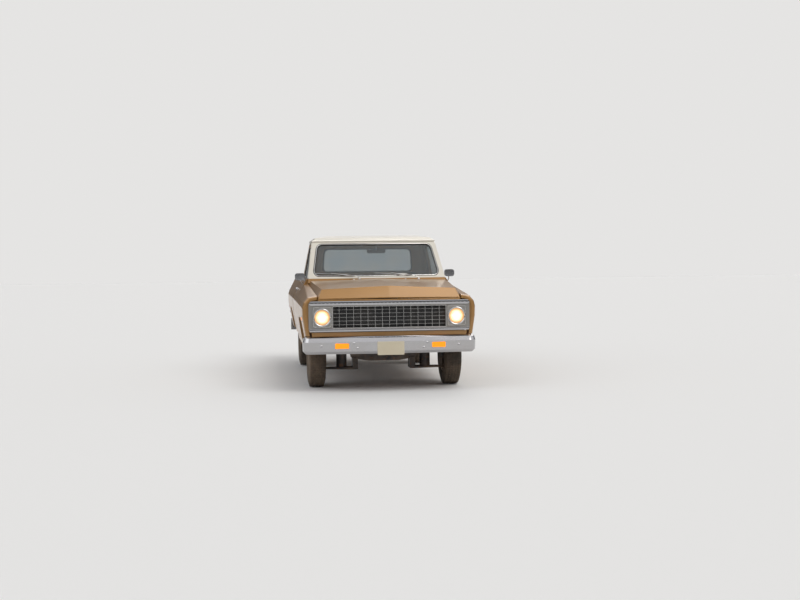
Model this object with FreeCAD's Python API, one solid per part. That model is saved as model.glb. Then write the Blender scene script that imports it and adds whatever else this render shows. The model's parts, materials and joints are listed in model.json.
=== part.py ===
import FreeCAD, Part
import math
import os

# A half-ton pickup truck of the early nineteen-seventies: short wheelbase, straight-sided load bed, two doors.
# Millimetres. X is across the truck, positive on the driver's side. Y runs from the nose to the tail, Z is up
# from the ground. A station is a distance behind the front number plate, which is the foremost point.

Vector = FreeCAD.Vector

# Overall and axles
body_half_width = 1003.0
side_reach = body_half_width + 97.0
wheelbase = 2921.0
front_axle_station = 845.0
rear_axle_station = front_axle_station + wheelbase
bed_rear_station = rear_axle_station + 1009.0
overall_length = bed_rear_station + 105.0
front_track = 2 * body_half_width - 406.0
rear_track = 2 * body_half_width - 426.0
panel_gap = 6.0
seat_clearance = 0.3
sheet = 5.0

# Wheels and tyres
tyre_radius = 350.0
tyre_width = 205.0
tyre_wall = 14.0
rim_radius = 190.5
rim_width = 166.0
rim_wall = 5.0
rim_flange = 9.0
disc_offset = 6.0
hub_bore_radius = 26.0
spindle_clearance = 0.05
brake_radius = 146.0
front_drum_depth = 44.0
rear_drum_depth = 62.0
hand_hole_count = 8
kingpin_offset = 95.0

# Heights of the body
rocker_bottom = 455.0
door_bottom = 536.0
floor_top = 600.0
floor_thickness = 30.0
belt_height = 1262.0
roof_rail_height = 1722.0
roof_crown = 76.0
door_top = roof_rail_height - 34.0
bed_floor_top = 735.0
bed_floor_thickness = 14.0
bed_rail_height = 1215.0
bed_side_bottom = 520.0

# Stations along the body
nose_station = 103.0
hood_crease_station = 165.0
hood_rear_station = 1285.0
firewall_station = 1340.0
fender_rear_station = 1498.0
door_front_station = fender_rear_station + panel_gap
door_rear_station = 2590.0
cab_back_station = 2755.0
bed_front_station = cab_back_station + 40.0
bumper_front_station = 2.3

# Wall thicknesses
fender_thickness = 25.0
hood_thickness = 18.0
pillar_thickness = 45.0
door_frame_thickness = 34.0
back_wall = 40.0
bed_wall = 40.0
bed_skin = 24.0
glass_thickness = 6.0
glass_inset = 10.0
tailgate_thickness = 45.0

# Half widths
door_inner_face = body_half_width - 188.0
bed_inner_face = body_half_width - 203.0
bed_housing_face = body_half_width - 363.0
frame_inner = 362.0
frame_outer = 430.0
apron_face = 500.0

# Side of the cab, the doors and the bed, from the belt down
side_profile = [
    # half_width, height, bend_radius
    (body_half_width - 135.0, belt_height, 0.0),
    (body_half_width - 117.0, belt_height - 26.0, 16.0),
    (body_half_width - 18.0, belt_height - 220.0, 22.0),
    (body_half_width, belt_height - 277.0, 30.0),
    (body_half_width - 3.0, belt_height - 412.0, 18.0),
    (body_half_width - 78.0, rocker_bottom, 0.0),
]

# A fender runs straight from the nose to the door between these corners, from its inner edge down
fender_corners = [
    # nose half_width, nose height, door half_width, door height, bend_radius
    (body_half_width - 183.0, belt_height - 168.0, body_half_width - 145.0, belt_height - 54.0, 0.0),
    (body_half_width - 77.0, belt_height - 184.0, body_half_width - 98.0, belt_height - 68.0, 20.0),
    (body_half_width - 29.0, belt_height - 240.0, body_half_width - 18.0, belt_height - 220.0, 26.0),
    (body_half_width - 13.0, belt_height - 302.0, body_half_width, belt_height - 277.0, 24.0),
    (body_half_width - 16.0, belt_height - 412.0, body_half_width - 3.0, belt_height - 412.0, 18.0),
    (body_half_width - 75.0, rocker_bottom, body_half_width - 78.0, rocker_bottom, 0.0),
]
fender_nose_rounding = [
    # distance behind the nose, how far the side is drawn in
    (0.0, 26.0),
    (10.0, 11.0),
    (30.0, 3.0),
    (75.0, 0.0),
]

# Hood: its side walls stand inside the fenders' inner edges and rise to an edge, then a low ridge
hood_sections = [
    # station, foot below the fender edge, edge half_width, edge height, ridge height
    (nose_station, 50.0, body_half_width - 199.0, belt_height - 196.0, belt_height - 188.0),
    (hood_crease_station, 6.0, body_half_width - 241.0, belt_height - 94.0, belt_height - 61.0),
    (720.0, 6.0, body_half_width - 203.0, belt_height - 56.0, belt_height - 24.0),
    (hood_rear_station, 6.0, body_half_width - 171.0, belt_height - 24.0, belt_height),
]
hood_stop_station = 450.0
hood_stop_radius = 8.0

# Cab above the belt: each value at the belt and at the roof rail
cab_front_half_width = (body_half_width - 153.0, body_half_width - 225.0)
cab_rear_half_width = (body_half_width - 135.0, body_half_width - 227.0)
windshield_centre_station = (1345.0, 1785.0)
windshield_corner_station = (1462.0, 1852.0)
cab_rear_station = (cab_back_station, 2650.0)
cab_corner_radius = 95.0
a_pillar_side_width = 42.0
windshield_opening = [
    # half_width, height, bend_radius
    (body_half_width - 211.0, belt_height + 26.0, 60.0),
    (body_half_width - 281.0, roof_rail_height - 32.0, 70.0),
]
rear_window_opening = [
    # half_width, height, bend_radius
    (body_half_width - 393.0, belt_height + 56.0, 60.0),
    (body_half_width - 418.0, roof_rail_height - 82.0, 70.0),
]
roof_layers = [
    # height above the rail, distance in from the drip rail's line
    (0.0, -8.0),
    (12.0, -8.0),
    (20.0, 10.0),
    (50.0, 48.0),
    (roof_crown, 200.0),
]

# Front end
surround_face_station = nose_station - 2.0
grille_half_width = body_half_width - 351.0
grille_bottom = belt_height - 536.0
grille_top = belt_height - 284.0
grille_depth = 26.0
grille_bar = 3.0
grille_cross_pitch = 41.0
grille_column_pitch = 83.0
surround_half_width = body_half_width - 86.0
surround_corner_radius = 40.0
surround_bottom = belt_height - 572.0
surround_top = belt_height - 226.0
surround_plate = 12.0
top_bar_height = 50.0
bottom_bar_height = 32.0
bar_depth = 18.0
bezel_half_width = 108.0
bezel_half_height = 120.0
bezel_depth = 20.0
headlamp_x = body_half_width - 238.0
headlamp_height = belt_height - 410.0
headlamp_radius = 89.0
headlamp_hole_radius = 96.0
headlamp_bucket_radius = 110.0
bumper_bottom = 440.0
bumper_top = 638.0
bumper_half_width = body_half_width - 17.0
bumper_bow_angle = 3.4
bumper_bow_radius = 6000.0
bumper_thickness = 6.0
bumper_wrap_station = 205.0
bumper_corner_radius = 85.0
bumper_face = [
    # distance behind the foremost line, height
    (34.0, bumper_bottom),
    (4.0, bumper_bottom + 30.0),
    (0.0, bumper_top - 62.0),
    (14.0, bumper_top - 16.0),
    (44.0, bumper_top),
]
parking_lamp_x = 548.0
parking_lamp_height = 532.0
parking_lamp_width = 158.0
parking_lamp_tall = 62.0
plate_width = 305.0
plate_tall = 152.0
plate_height = 502.0
plate_thickness = 2.0

# Rear end
tail_lamp_half_width = 36.0
tail_lamp_bottom = 700.0
tail_lamp_top = 1030.0
tail_lamp_depth = 30.0
rear_bumper_bottom = 440.0
rear_bumper_top = 612.0
rear_bumper_half_width = body_half_width - 38.0
rear_bumper_gap = 15.0
step_half_width = 250.0
step_height = 556.0
hitch_hole_radius = 12.7
rear_plate_hole_radius = 3.5
rear_plate_hole_spacing = 178.0
tailgate_half_width = body_half_width - 241.0
tailgate_pivot_height = 772.0
tailgate_pin_radius = 9.0

# Frame and axles
frame_rail = [
    # station, bottom height, top height
    (70.0, 470.0, 590.0),
    (1240.0, 470.0, 590.0),
    (1420.0, 430.0, 550.0),
    (rear_axle_station - 716.0, 430.0, 550.0),
    (rear_axle_station - 386.0, 540.0, 640.0),
    (rear_axle_station + 434.0, 540.0, 640.0),
    (rear_axle_station + 694.0, 500.0, 610.0),
    (rear_axle_station + 994.0, 500.0, 610.0),
]
frame_crossmembers = [
    # station, length, bottom height, top height
    (110.0, 70.0, 490.0, 570.0),
    (1700.0, 90.0, 436.0, 476.0),
    (2620.0, 110.0, 480.0, 545.0),
    (rear_axle_station - 326.0, 80.0, 550.0, 630.0),
    (rear_axle_station + 524.0, 80.0, 550.0, 615.0),
    (rear_axle_station + 924.0, 60.0, 510.0, 600.0),
]
body_mount_stations = (1480.0, 2560.0)
bed_sill_stations = (
    bed_front_station + 65.0, rear_axle_station - 586.0, rear_axle_station - 336.0, rear_axle_station + 514.0,
    rear_axle_station + 894.0,
)
axle_tube_radius = 38.0
knuckle_radius = 26.0
knuckle_bottom = 232.0
knuckle_top = 452.0
ball_joint_radius = 20.0

# Steering, hinges and latches
steering_wheel_x = 395.0
steering_wheel_station = 1842.0
steering_wheel_height = belt_height - 94.0
steering_wheel_radius = 203.0
steering_rim_radius = 11.0
steering_lean = 34.9
steering_hub_length = 70.0
column_radius = 30.0
door_hinge_x = body_half_width
door_hinge_station = door_front_station - panel_gap / 2
striker_x = body_half_width - 153.0
striker_height = 900.0
striker_radius = 7.0
striker_reach = 24.0

os.makedirs("parts", exist_ok=True)


def along(station):
    """Y of a station."""
    return station - overall_length / 2


def point(plane, a, b, c):
    """A point from two coordinates in a plane and one across it; along the truck it is a station."""
    if plane == "XZ":
        return Vector(a, along(c), b)
    if plane == "YZ":
        return Vector(c, along(a), b)
    return Vector(a, along(b), c)


def rounded_corner(before, corner, after, radius):
    """Start, middle and end of the arc that rounds a corner of a flat outline."""
    bx, by = before[0] - corner[0], before[1] - corner[1]
    ax, ay = after[0] - corner[0], after[1] - corner[1]
    before_length, after_length = math.hypot(bx, by), math.hypot(ax, ay)
    bx, by = bx / before_length, by / before_length
    ax, ay = ax / after_length, ay / after_length
    half = math.acos(max(-1.0, min(1.0, bx * ax + by * ay))) / 2
    reach = min(radius / math.tan(half), 0.49 * before_length, 0.49 * after_length)
    middle = reach * math.tan(half) * (1 / math.sin(half) - 1)
    bisector = math.hypot(bx + ax, by + ay)
    return (
        (corner[0] + bx * reach, corner[1] + by * reach),
        (corner[0] + (bx + ax) / bisector * middle, corner[1] + (by + ay) / bisector * middle),
        (corner[0] + ax * reach, corner[1] + ay * reach),
    )


def wire(plane, corners, c):
    """A closed wire through corners (a, b) or (a, b, radius), at c across the plane."""
    stops = []
    for before, corner, after in zip(corners[-1:] + corners[:-1], corners, corners[1:] + corners[:1]):
        if len(corner) > 2 and corner[2] > 0:
            stops.append(rounded_corner(before, corner, after, corner[2]))
        else:
            stops.append((corner[:2],))
    edges = []
    for stop, following in zip(stops, stops[1:] + stops[:1]):
        places = [point(plane, a, b, c) for a, b in stop]
        if len(places) == 3:
            edges.append(Part.Arc(*places).toShape())
        target = point(plane, following[0][0], following[0][1], c)
        if places[-1].distanceToPoint(target) > 1e-6:
            edges.append(Part.LineSegment(places[-1], target).toShape())
    return Part.Wire(edges)


def prism(plane, corners, start, end):
    """A solid with a flat outline, from start to end across the plane."""
    face = Part.Face(wire(plane, corners, start))
    return face.extrude(point(plane, 0, 0, end) - point(plane, 0, 0, start))


def loft(plane, outlines):
    """A ruled solid through outlines, each (corners, place across the plane)."""
    return Part.makeLoft([wire(plane, corners, c) for corners, c in outlines], True, True)


def box(x0, x1, s0, s1, z0, z1):
    """A box between two half widths, two stations and two heights."""
    return Part.makeBox(x1 - x0, s1 - s0, z1 - z0, Vector(x0, along(s0), z0))


def rounded_box(cx, cz, half_x, half_z, radius, front, back):
    """A block seen from the front as a rectangle with round corners."""
    return prism("XZ", [
        (cx - half_x, cz - half_z, radius), (cx + half_x, cz - half_z, radius),
        (cx + half_x, cz + half_z, radius), (cx - half_x, cz + half_z, radius),
    ], front, back)


def rod(start, end, radius):
    """A round bar between two points (x, station, z)."""
    a = Vector(start[0], along(start[1]), start[2])
    b = Vector(end[0], along(end[1]), end[2])
    return Part.makeCylinder(radius, (b - a).Length, a, b - a)


def mirrored(shape):
    """The same piece on the passenger's side."""
    return shape.mirror(Vector(0, 0, 0), Vector(1, 0, 0))


def fused(first, *others):
    """One solid from pieces that overlap or touch."""
    return first.fuse(list(others)).removeSplitter()


def both_sides(corners):
    """An outline across the truck from its driver's-side corners, in order from top or bottom."""
    return list(corners) + [(-corner[0],) + tuple(corner[1:]) for corner in reversed(corners) if corner[0] != 0]


def offset_path(path, distance):
    """An open path (a, b) moved to its right by a distance, mitred at its bends."""
    moved = []
    for i, corner in enumerate(path):
        normals = []
        for start, end in ((i - 1, i), (i, i + 1)):
            if start >= 0 and end < len(path):
                da, db = path[end][0] - path[start][0], path[end][1] - path[start][1]
                length = math.hypot(da, db)
                normals.append((db / length, -da / length))
        na = sum(n[0] for n in normals)
        nb = sum(n[1] for n in normals)
        scale = distance * len(normals) / (na * na + nb * nb)
        moved.append((corner[0] + na * scale, corner[1] + nb * scale))
    return moved


def swept(section, corners):
    """A solid with a section wire, swept along points (x, station, z, bend_radius) with an arc at each bend."""
    places = [Vector(c[0], along(c[1]), c[2]) for c in corners]
    edges, last = [], places[0]
    for before, corner, after, bend in zip(places, places[1:], places[2:], [c[3] for c in corners[1:]]):
        b, a = (before - corner).normalize(), (after - corner).normalize()
        half = b.getAngle(a) / 2
        reach = bend / math.tan(half)
        middle = (b + a).normalize() * (bend / math.sin(half) - bend)
        start, end = corner + b * reach, corner + a * reach
        edges.append(Part.LineSegment(last, start).toShape())
        edges.append(Part.Arc(start, corner + middle, end).toShape())
        last = end
    edges.append(Part.LineSegment(last, places[-1]).toShape())
    return Part.Wire(edges).makePipeShell([section], True, False)


def tube(corners, radius):
    """A round bar bent along points (x, station, z, bend_radius)."""
    start = Vector(corners[0][0], along(corners[0][1]), corners[0][2])
    second = Vector(corners[1][0], along(corners[1][1]), corners[1][2])
    return swept(Part.Wire(Part.makeCircle(radius, start, second - start)), corners)


def save(node, *shapes):
    """Writes one sub-part, of one or more closed solids that don't touch."""
    solids = [solid for shape in shapes for solid in shape.Solids]
    for solid in solids:
        if not solid.isValid() or solid.Volume <= 0:
            print("CHECK", node, "valid", solid.isValid(), "volume", solid.Volume)
    Part.makeCompound(solids).exportStep("parts/%s.step" % node)
    print(node, len(solids))


# Shared envelopes


def side_half_width(height):
    """Half width of the body side at a height."""
    for upper, lower in zip(side_profile, side_profile[1:]):
        if lower[1] <= height <= upper[1]:
            share = (upper[1] - height) / (upper[1] - lower[1])
            return upper[0] + (lower[0] - upper[0]) * share
    return side_profile[-1][0]


def side_corners(bottom, top):
    """The body side from a top height down to a bottom height."""
    between = [corner for corner in side_profile if bottom < corner[1] < top]
    return [(side_half_width(top), top)] + between + [(side_half_width(bottom), bottom)]


def level(pair, height):
    """A value that runs straight from the belt to the roof rail."""
    share = (height - belt_height) / (roof_rail_height - belt_height)
    return pair[0] + (pair[1] - pair[0]) * share


def cab_outline(height, inset):
    """The plan outline of the cab above its belt, drawn in by an inset."""
    front_x = level(cab_front_half_width, height) - inset
    rear_x = level(cab_rear_half_width, height) - inset
    centre = level(windshield_centre_station, height) + inset * 1.35
    corner = level(windshield_corner_station, height) + inset * 1.1
    back = level(cab_rear_station, height) - inset
    radius = max(cab_corner_radius - inset, 20.0)
    diagonal = radius * (1 - math.sqrt(0.5))

    def at(x, station):
        return Vector(x, along(station), height)

    def line(start, end):
        return Part.LineSegment(start, end).toShape()

    def arc(start, middle, end):
        return Part.Arc(start, middle, end).toShape()

    return Part.Wire([
        arc(at(-front_x, corner), at(0, centre), at(front_x, corner)),
        line(at(front_x, corner), at(rear_x, back - radius)),
        arc(at(rear_x, back - radius), at(rear_x - diagonal, back - diagonal), at(rear_x - radius, back)),
        line(at(rear_x - radius, back), at(radius - rear_x, back)),
        arc(at(radius - rear_x, back), at(diagonal - rear_x, back - diagonal), at(-rear_x, back - radius)),
        line(at(-rear_x, back - radius), at(-front_x, corner)),
    ])


def cab_block(inset, low, high):
    """The solid inside the cab's outline between two heights."""
    return Part.makeLoft([cab_outline(low, inset), cab_outline(high, inset)], True, True)


def cab_skin(outer_inset, thickness, low, high):
    """A shell that follows the cab above its belt."""
    return cab_block(outer_inset, low, high).cut(cab_block(outer_inset + thickness, low - 10, high + 10))


def wheel_arch(axle_station, grow=0.0):
    """The outline of a wheel opening in a body side, as (station, height, radius) corners."""
    return [
        (axle_station - 445 - grow, 250.0),
        (axle_station - 432 - grow, 620.0 + grow, 260.0),
        (axle_station - 262 - grow / 2, 826.0 + grow, 190.0),
        (axle_station + 262 + grow / 2, 826.0 + grow, 190.0),
        (axle_station + 432 + grow, 620.0 + grow, 260.0),
        (axle_station + 445 + grow, 250.0),
    ]


def door_swing(gap):
    """Everything within a door's swing radius of its hinge pin, wider by a gap."""
    radius = door_rear_station - door_hinge_station + gap
    return Part.makeCylinder(radius, roof_rail_height, Vector(door_hinge_x, along(door_hinge_station), 0))


def pillar_station(height, offset):
    """Station of the windshield pillar's front corner at a height, moved back by an offset."""
    return level(windshield_corner_station, height) + offset


def door_outline(gap):
    """The outline of a door seen from the side, wider all round by a gap; its rear edge comes from its swing."""
    front = door_front_station - gap
    far = door_rear_station + gap
    bottom = door_bottom - gap
    top = door_top + gap
    slope = (windshield_corner_station[1] - windshield_corner_station[0]) / (roof_rail_height - belt_height)
    lean = a_pillar_side_width + panel_gap - gap * math.hypot(1, slope)
    return [
        (front, bottom, 50.0 + gap),
        (front, belt_height),
        (pillar_station(belt_height, lean), belt_height),
        (pillar_station(top, lean), top, 18.0),
        (far, top),
        (far, bottom, 50.0 + gap),
    ]


def window_outline():
    """The opening in a door's upper frame seen from the side."""
    high = door_top - door_frame_thickness
    lean = a_pillar_side_width + panel_gap + door_frame_thickness * 1.5
    rear = door_rear_station - door_frame_thickness - 12.0
    return [
        (pillar_station(belt_height, lean), belt_height),
        (pillar_station(high, lean), high, 25.0),
        (rear - 24.0, high, 40.0),
        (rear, belt_height),
    ]


# Wheels


def revolved(corners):
    """A ring from an outline of (offset outwards, radius), turned about the X axis at the origin."""
    face = Part.Face(wire("XZ", corners, overall_length / 2))
    return face.revolve(Vector(0, 0, 0), Vector(1, 0, 0), 360)


def tyre_shape():
    """A tyre with rounded shoulders and bulging walls, hollow and open to the rim."""
    half = tyre_width / 2
    flange_face = rim_width / 2 - rim_wall - seat_clearance
    seat = rim_radius + seat_clearance
    driver_side = [
        (half - 24.0, tyre_radius),
        (half - 6.0, tyre_radius - 22.0),
        (half, rim_radius + 78.0),
        (half - 12.0, rim_radius + 26.0),
        (flange_face, rim_radius + rim_flange + 1.0),
        (flange_face, seat),
        (flange_face - tyre_wall, seat),
        (half - tyre_wall - 3.0, rim_radius + 76.0),
        (half - tyre_wall - 22.0, tyre_radius - tyre_wall),
    ]
    return revolved(driver_side + [(-c[0], c[1]) for c in reversed(driver_side)])


def wheel_shape(drum_depth):
    """A pressed steel wheel with hand holes, its hub cap and its brake drum, in one piece."""
    half, seat, d = rim_width / 2, rim_radius, disc_offset
    flange = seat + rim_flange
    well = seat - 26.0
    barrel = revolved([
        (half, flange), (half, seat - rim_wall), (32.0, seat - rim_wall), (22.0, well - rim_wall),
        (-28.0, well - rim_wall), (-38.0, seat - rim_wall), (-half, seat - rim_wall), (-half, flange),
        (rim_wall - half, flange), (rim_wall - half, seat), (-36.0, seat), (-25.0, well),
        (19.0, well), (30.0, seat), (half - rim_wall, seat), (half - rim_wall, flange),
    ])
    disc = revolved([
        (d - 12.0, well - rim_wall + 1.0), (d + 12.0, well - rim_wall + 1.0), (d + 28.0, 128.0), (d + 8.0, 88.0),
        (d + 8.0, hub_bore_radius), (d - drum_depth * 0.6, hub_bore_radius), (d - drum_depth * 0.6, 52.0),
        (d - 14.0, 66.0), (d - 14.0, brake_radius - 10.0), (d - drum_depth, brake_radius - 10.0),
        (d - drum_depth, brake_radius), (d - 6.0, brake_radius), (d, 96.0), (d + 18.0, 126.0),
    ])
    cap = revolved([
        (d + 8.0, 90.0), (d + 22.0, 104.0), (d + 40.0, 90.0), (d + 46.0, 50.0), (d + 62.0, 44.0), (d + 66.0, 0.0),
        (d + 58.0, 0.0), (d + 55.0, 38.0), (d + 38.0, 46.0), (d + 32.0, 84.0),
    ])
    whole = fused(barrel, disc, cap)
    for i in range(hand_hole_count):
        slot = Part.makeBox(60.0, 30.0, 12.0, Vector(d - 4.0, -15.0, 135.0))
        slot.rotate(Vector(0, 0, 0), Vector(1, 0, 0), 360.0 * i / hand_hole_count)
        whole = whole.cut(slot)
    return whole


def make_wheels():
    tyre = tyre_shape()
    for place, track, station, depth in (
        ("front", front_track, front_axle_station, front_drum_depth),
        ("rear", rear_track, rear_axle_station, rear_drum_depth),
    ):
        wheel = wheel_shape(depth)
        for node, shape in (("tyre", tyre), ("wheel", wheel)):
            moved = shape.copy()
            moved.translate(Vector(track / 2, along(station), tyre_radius))
            save("%s_%s_left" % (node, place), moved)
            save("%s_%s_right" % (node, place), mirrored(moved))


# Frame, axles and engine


def rail_top(station):
    """Height of the frame rail's top at a station."""
    for near, far in zip(frame_rail, frame_rail[1:]):
        if near[0] <= station <= far[0]:
            return near[2] + (far[2] - near[2]) * (station - near[0]) / (far[0] - near[0])
    return frame_rail[-1][2]


def make_chassis():
    rail_outline = [(s, low) for s, low, high in frame_rail]
    rail_outline += [(s, high) for s, low, high in reversed(frame_rail)]
    rail = prism("YZ", rail_outline, frame_inner, frame_outer)
    crossmembers = [
        box(-frame_inner - 5, frame_inner + 5, s - length / 2, s + length / 2, low, high)
        for s, length, low, high in frame_crossmembers
    ]
    middle = (frame_inner + frame_outer) / 2
    mounts = [
        rod((side * middle, s, rail_top(s) - 5), (side * middle, s, floor_top - floor_thickness - seat_clearance), 30.0)
        for s in body_mount_stations for side in (1, -1)
    ]
    save("chassis_frame", fused(rail, mirrored(rail), *crossmembers, *mounts))


def make_front_suspension():
    s = front_axle_station
    kingpin_x = front_track / 2 - kingpin_offset
    rail_bottom = frame_rail[0][1]
    beam = prism("XZ", both_sides([
        (180.0, 300.0, 40.0), (380.0, 330.0, 20.0), (frame_outer, rail_bottom - seat_clearance),
        (frame_inner, rail_bottom - seat_clearance), (250.0, 400.0, 30.0),
    ]), s - 80, s + 80)
    pieces = [beam]
    for side in (1, -1):
        half = [box(310.0, 370.0, s - 110, s + 110, knuckle_bottom - 28.0, 336.0)]
        for bottom, top, root_x, root_span, pin_z in (
            (knuckle_bottom - 30.0, knuckle_bottom - 8.0, 330.0, 110.0, knuckle_bottom - seat_clearance),
            (knuckle_top + 8.0, knuckle_top + 26.0, frame_outer + 2.0, 90.0, knuckle_top + seat_clearance),
        ):
            arm = prism("XY", [
                (root_x, s - root_span, 12.0), (root_x, s + root_span, 12.0), (root_x + 50.0, s + root_span, 12.0),
                (kingpin_x + 24.0, s + 24.0, 20.0), (kingpin_x + 24.0, s - 24.0, 20.0),
                (root_x + 50.0, s - root_span, 12.0),
            ], bottom, top)
            half += [arm, rod((kingpin_x, s, (bottom + top) / 2), (kingpin_x, s, pin_z), ball_joint_radius)]
        spring = Part.makeCylinder(62.0, 220.0, Vector(500.0, along(s), knuckle_bottom - 10.0))
        half.append(spring.cut(Part.makeCylinder(46.0, 230.0, Vector(500.0, along(s), knuckle_bottom - 15.0))))
        half.append(prism("XZ", [
            (400.0, 400.0), (440.0, 400.0), (560.0, knuckle_top - 18.0), (560.0, knuckle_top + 10.0),
            (400.0, knuckle_top + 10.0),
        ], s - 60, s + 60))
        pieces += half if side > 0 else [mirrored(piece) for piece in half]
    save("front_suspension", fused(*pieces))


def make_knuckles():
    s = front_axle_station
    kingpin_x = front_track / 2 - kingpin_offset
    hub_x = front_track / 2 + disc_offset - front_drum_depth * 0.6
    post = rod((kingpin_x, s, knuckle_bottom), (kingpin_x, s, knuckle_top), knuckle_radius)
    carrier = rod((kingpin_x, s, tyre_radius), (hub_x - panel_gap, s, tyre_radius), 44.0)
    spindle_end = front_track / 2 + disc_offset + 20.0
    spindle = rod((kingpin_x, s, tyre_radius), (spindle_end, s, tyre_radius), hub_bore_radius - spindle_clearance)
    steering_arm = box(kingpin_x - 14, kingpin_x + 14, s, s + 120, knuckle_bottom + 8, knuckle_bottom + 30)
    knuckle = fused(post, carrier, spindle, steering_arm)
    save("knuckle_left", knuckle)
    save("knuckle_right", mirrored(knuckle))


def rounded_square(half, radius):
    """A cross-section of the rear axle's housing."""
    low, high = tyre_radius - half, tyre_radius + half
    return [(-half, low, radius), (half, low, radius), (half, high, radius), (-half, high, radius)]


def make_rear_axle():
    s = rear_axle_station
    tube_end = rear_track / 2 + disc_offset - rear_drum_depth * 0.6 - panel_gap
    spindle_end = rear_track / 2 + disc_offset + 20.0
    spring_seat = 320.0
    spring_top = frame_rail[4][1] - seat_clearance
    arm_top = frame_rail[3][1] - seat_clearance
    pieces = [
        rod((-tube_end, s, tyre_radius), (tube_end, s, tyre_radius), axle_tube_radius),
        rod((-spindle_end, s, tyre_radius), (spindle_end, s, tyre_radius), hub_bore_radius - spindle_clearance),
        loft("XZ", [(rounded_square(46.0, 40.0), s - 210.0), (rounded_square(78.0, 60.0), s - 80.0)]),
        loft("XZ", [(rounded_square(78.0, 60.0), s - 80.0), (rounded_square(128.0, 110.0), s - 40.0)]),
        loft("XZ", [(rounded_square(128.0, 110.0), s - 40.0), (rounded_square(128.0, 110.0), s + 50.0)]),
        loft("XZ", [(rounded_square(128.0, 110.0), s + 50.0), (rounded_square(84.0, 66.0), s + 110.0)]),
    ]
    for side in (1, -1):
        arm = prism("YZ", [
            (2600.0, 380.0, 10.0), (2600.0, arm_top), (2680.0, arm_top), (s + 90.0, 318.0, 10.0),
            (s + 90.0, 260.0, 10.0), (s - 120.0, 262.0, 10.0),
        ], 370.0, 428.0)
        pad = box(375.0, 490.0, s - 140.0, s - 20.0, 300.0, spring_seat + 2)
        spring = Part.makeCylinder(55.0, spring_top - spring_seat, Vector(430.0, along(s - 82.0), spring_seat))
        spring = spring.cut(Part.makeCylinder(41.0, 400.0, Vector(430.0, along(s - 82.0), spring_seat - 50)))
        pieces += [piece if side > 0 else mirrored(piece) for piece in (arm, pad, spring)]
    save("rear_axle", fused(*pieces))


def make_driveline():
    crossmember_top = frame_crossmembers[1][3]
    rest = crossmember_top + seat_clearance
    gearbox = loft("XZ", [
        ([(-150, 430, 40.0), (150, 430, 40.0), (150, 640, 60.0), (-150, 640, 60.0)], 1150.0),
        ([(-105, 440, 30.0), (105, 440, 30.0), (105, 550, 30.0), (-105, 550, 30.0)], 1330.0),
        ([(-85, rest, 20.0), (85, rest, 20.0), (85, 558, 30.0), (-85, 558, 30.0)], 1640.0),
        ([(-60, rest, 20.0), (60, rest, 20.0), (60, 552, 30.0), (-60, 552, 30.0)], 1790.0),
    ])
    nose = (0.0, rear_axle_station - 216.0, tyre_radius)
    shaft = rod((0.0, 1780.0, 514.0), nose, 34.0)
    joint = rod((0.0, 1770.0, 514.0), (0.0, 1850.0, 507.0), 44.0)
    save("driveline", fused(gearbox, shaft, joint))


def make_engine():
    block = prism("XZ", both_sides([
        (110.0, 430.0, 20.0), (150.0, 560.0, 30.0), (frame_inner - 60.0, 640.0, 30.0), (310.0, 820.0, 40.0),
        (210.0, 900.0, 30.0), (120.0, 955.0, 20.0),
    ]), 480.0, 1150.0 - seat_clearance)
    mounts = box(seat_clearance - frame_inner, frame_inner - seat_clearance, 700.0, 770.0, 560.0, 590.0)
    save("engine_block", fused(block, mounts))


def make_exhaust():
    pipe = tube([
        (-325.0, 990.0, 625.0, 0), (-325.0, 990.0, 420.0, 60.0), (-285.0, 1300.0, 372.0, 90.0),
        (-285.0, 2110.0, 372.0, 0),
    ], 24.0)
    rail_bottom = frame_rail[2][1]
    top = rail_bottom - seat_clearance
    muffler = prism("XZ", [(-385, 315, 50.0), (-200, 315, 50.0), (-200, top, 50.0), (-385, top, 50.0)], 2090.0, 2350.0)
    hanger = box(-frame_outer + 50, -frame_inner + 20, 2200.0, 2240.0, 372.0, top)
    tail = tube([
        (-285.0, 2340.0, 372.0, 0), (-285.0, 2470.0, 374.0, 90.0), (-620.0, 2600.0, 390.0, 300.0),
        (-905.0, 2690.0, 398.0, 0),
    ], 24.0)
    save("exhaust", fused(pipe, muffler, tail, hanger))


# Front sheet metal


def fender_section(station, drawn_in):
    """Outer and inner corners of a fender at a station."""
    share = (station - nose_station) / (fender_rear_station - nose_station)
    outer = []
    for i, (nose_x, nose_z, door_x, door_z, bend) in enumerate(fender_corners):
        x = nose_x + (door_x - nose_x) * share - drawn_in * (i > 0)
        z = nose_z + (door_z - nose_z) * share - drawn_in * 0.6 * (i < 2)
        outer.append((x, z, bend))
    inner = offset_path(outer, fender_thickness)
    inner[0] = (outer[0][0], outer[0][1] - fender_thickness)
    inner[-1] = (outer[-1][0] - fender_thickness, outer[-1][1])
    return outer + inner[::-1]


def fender_edge(station):
    """Half width and height of a fender's inner edge."""
    nose_x, nose_z, door_x, door_z, bend = fender_corners[0]
    share = (station - nose_station) / (fender_rear_station - nose_station)
    return nose_x + (door_x - nose_x) * share, nose_z + (door_z - nose_z) * share


def surround_outline(gap, start, end):
    """The grille surround's face, grown by a gap."""
    return rounded_box(0, (surround_bottom + surround_top) / 2, surround_half_width + gap,
                       (surround_top - surround_bottom) / 2 + gap, surround_corner_radius + gap, start, end)


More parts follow.
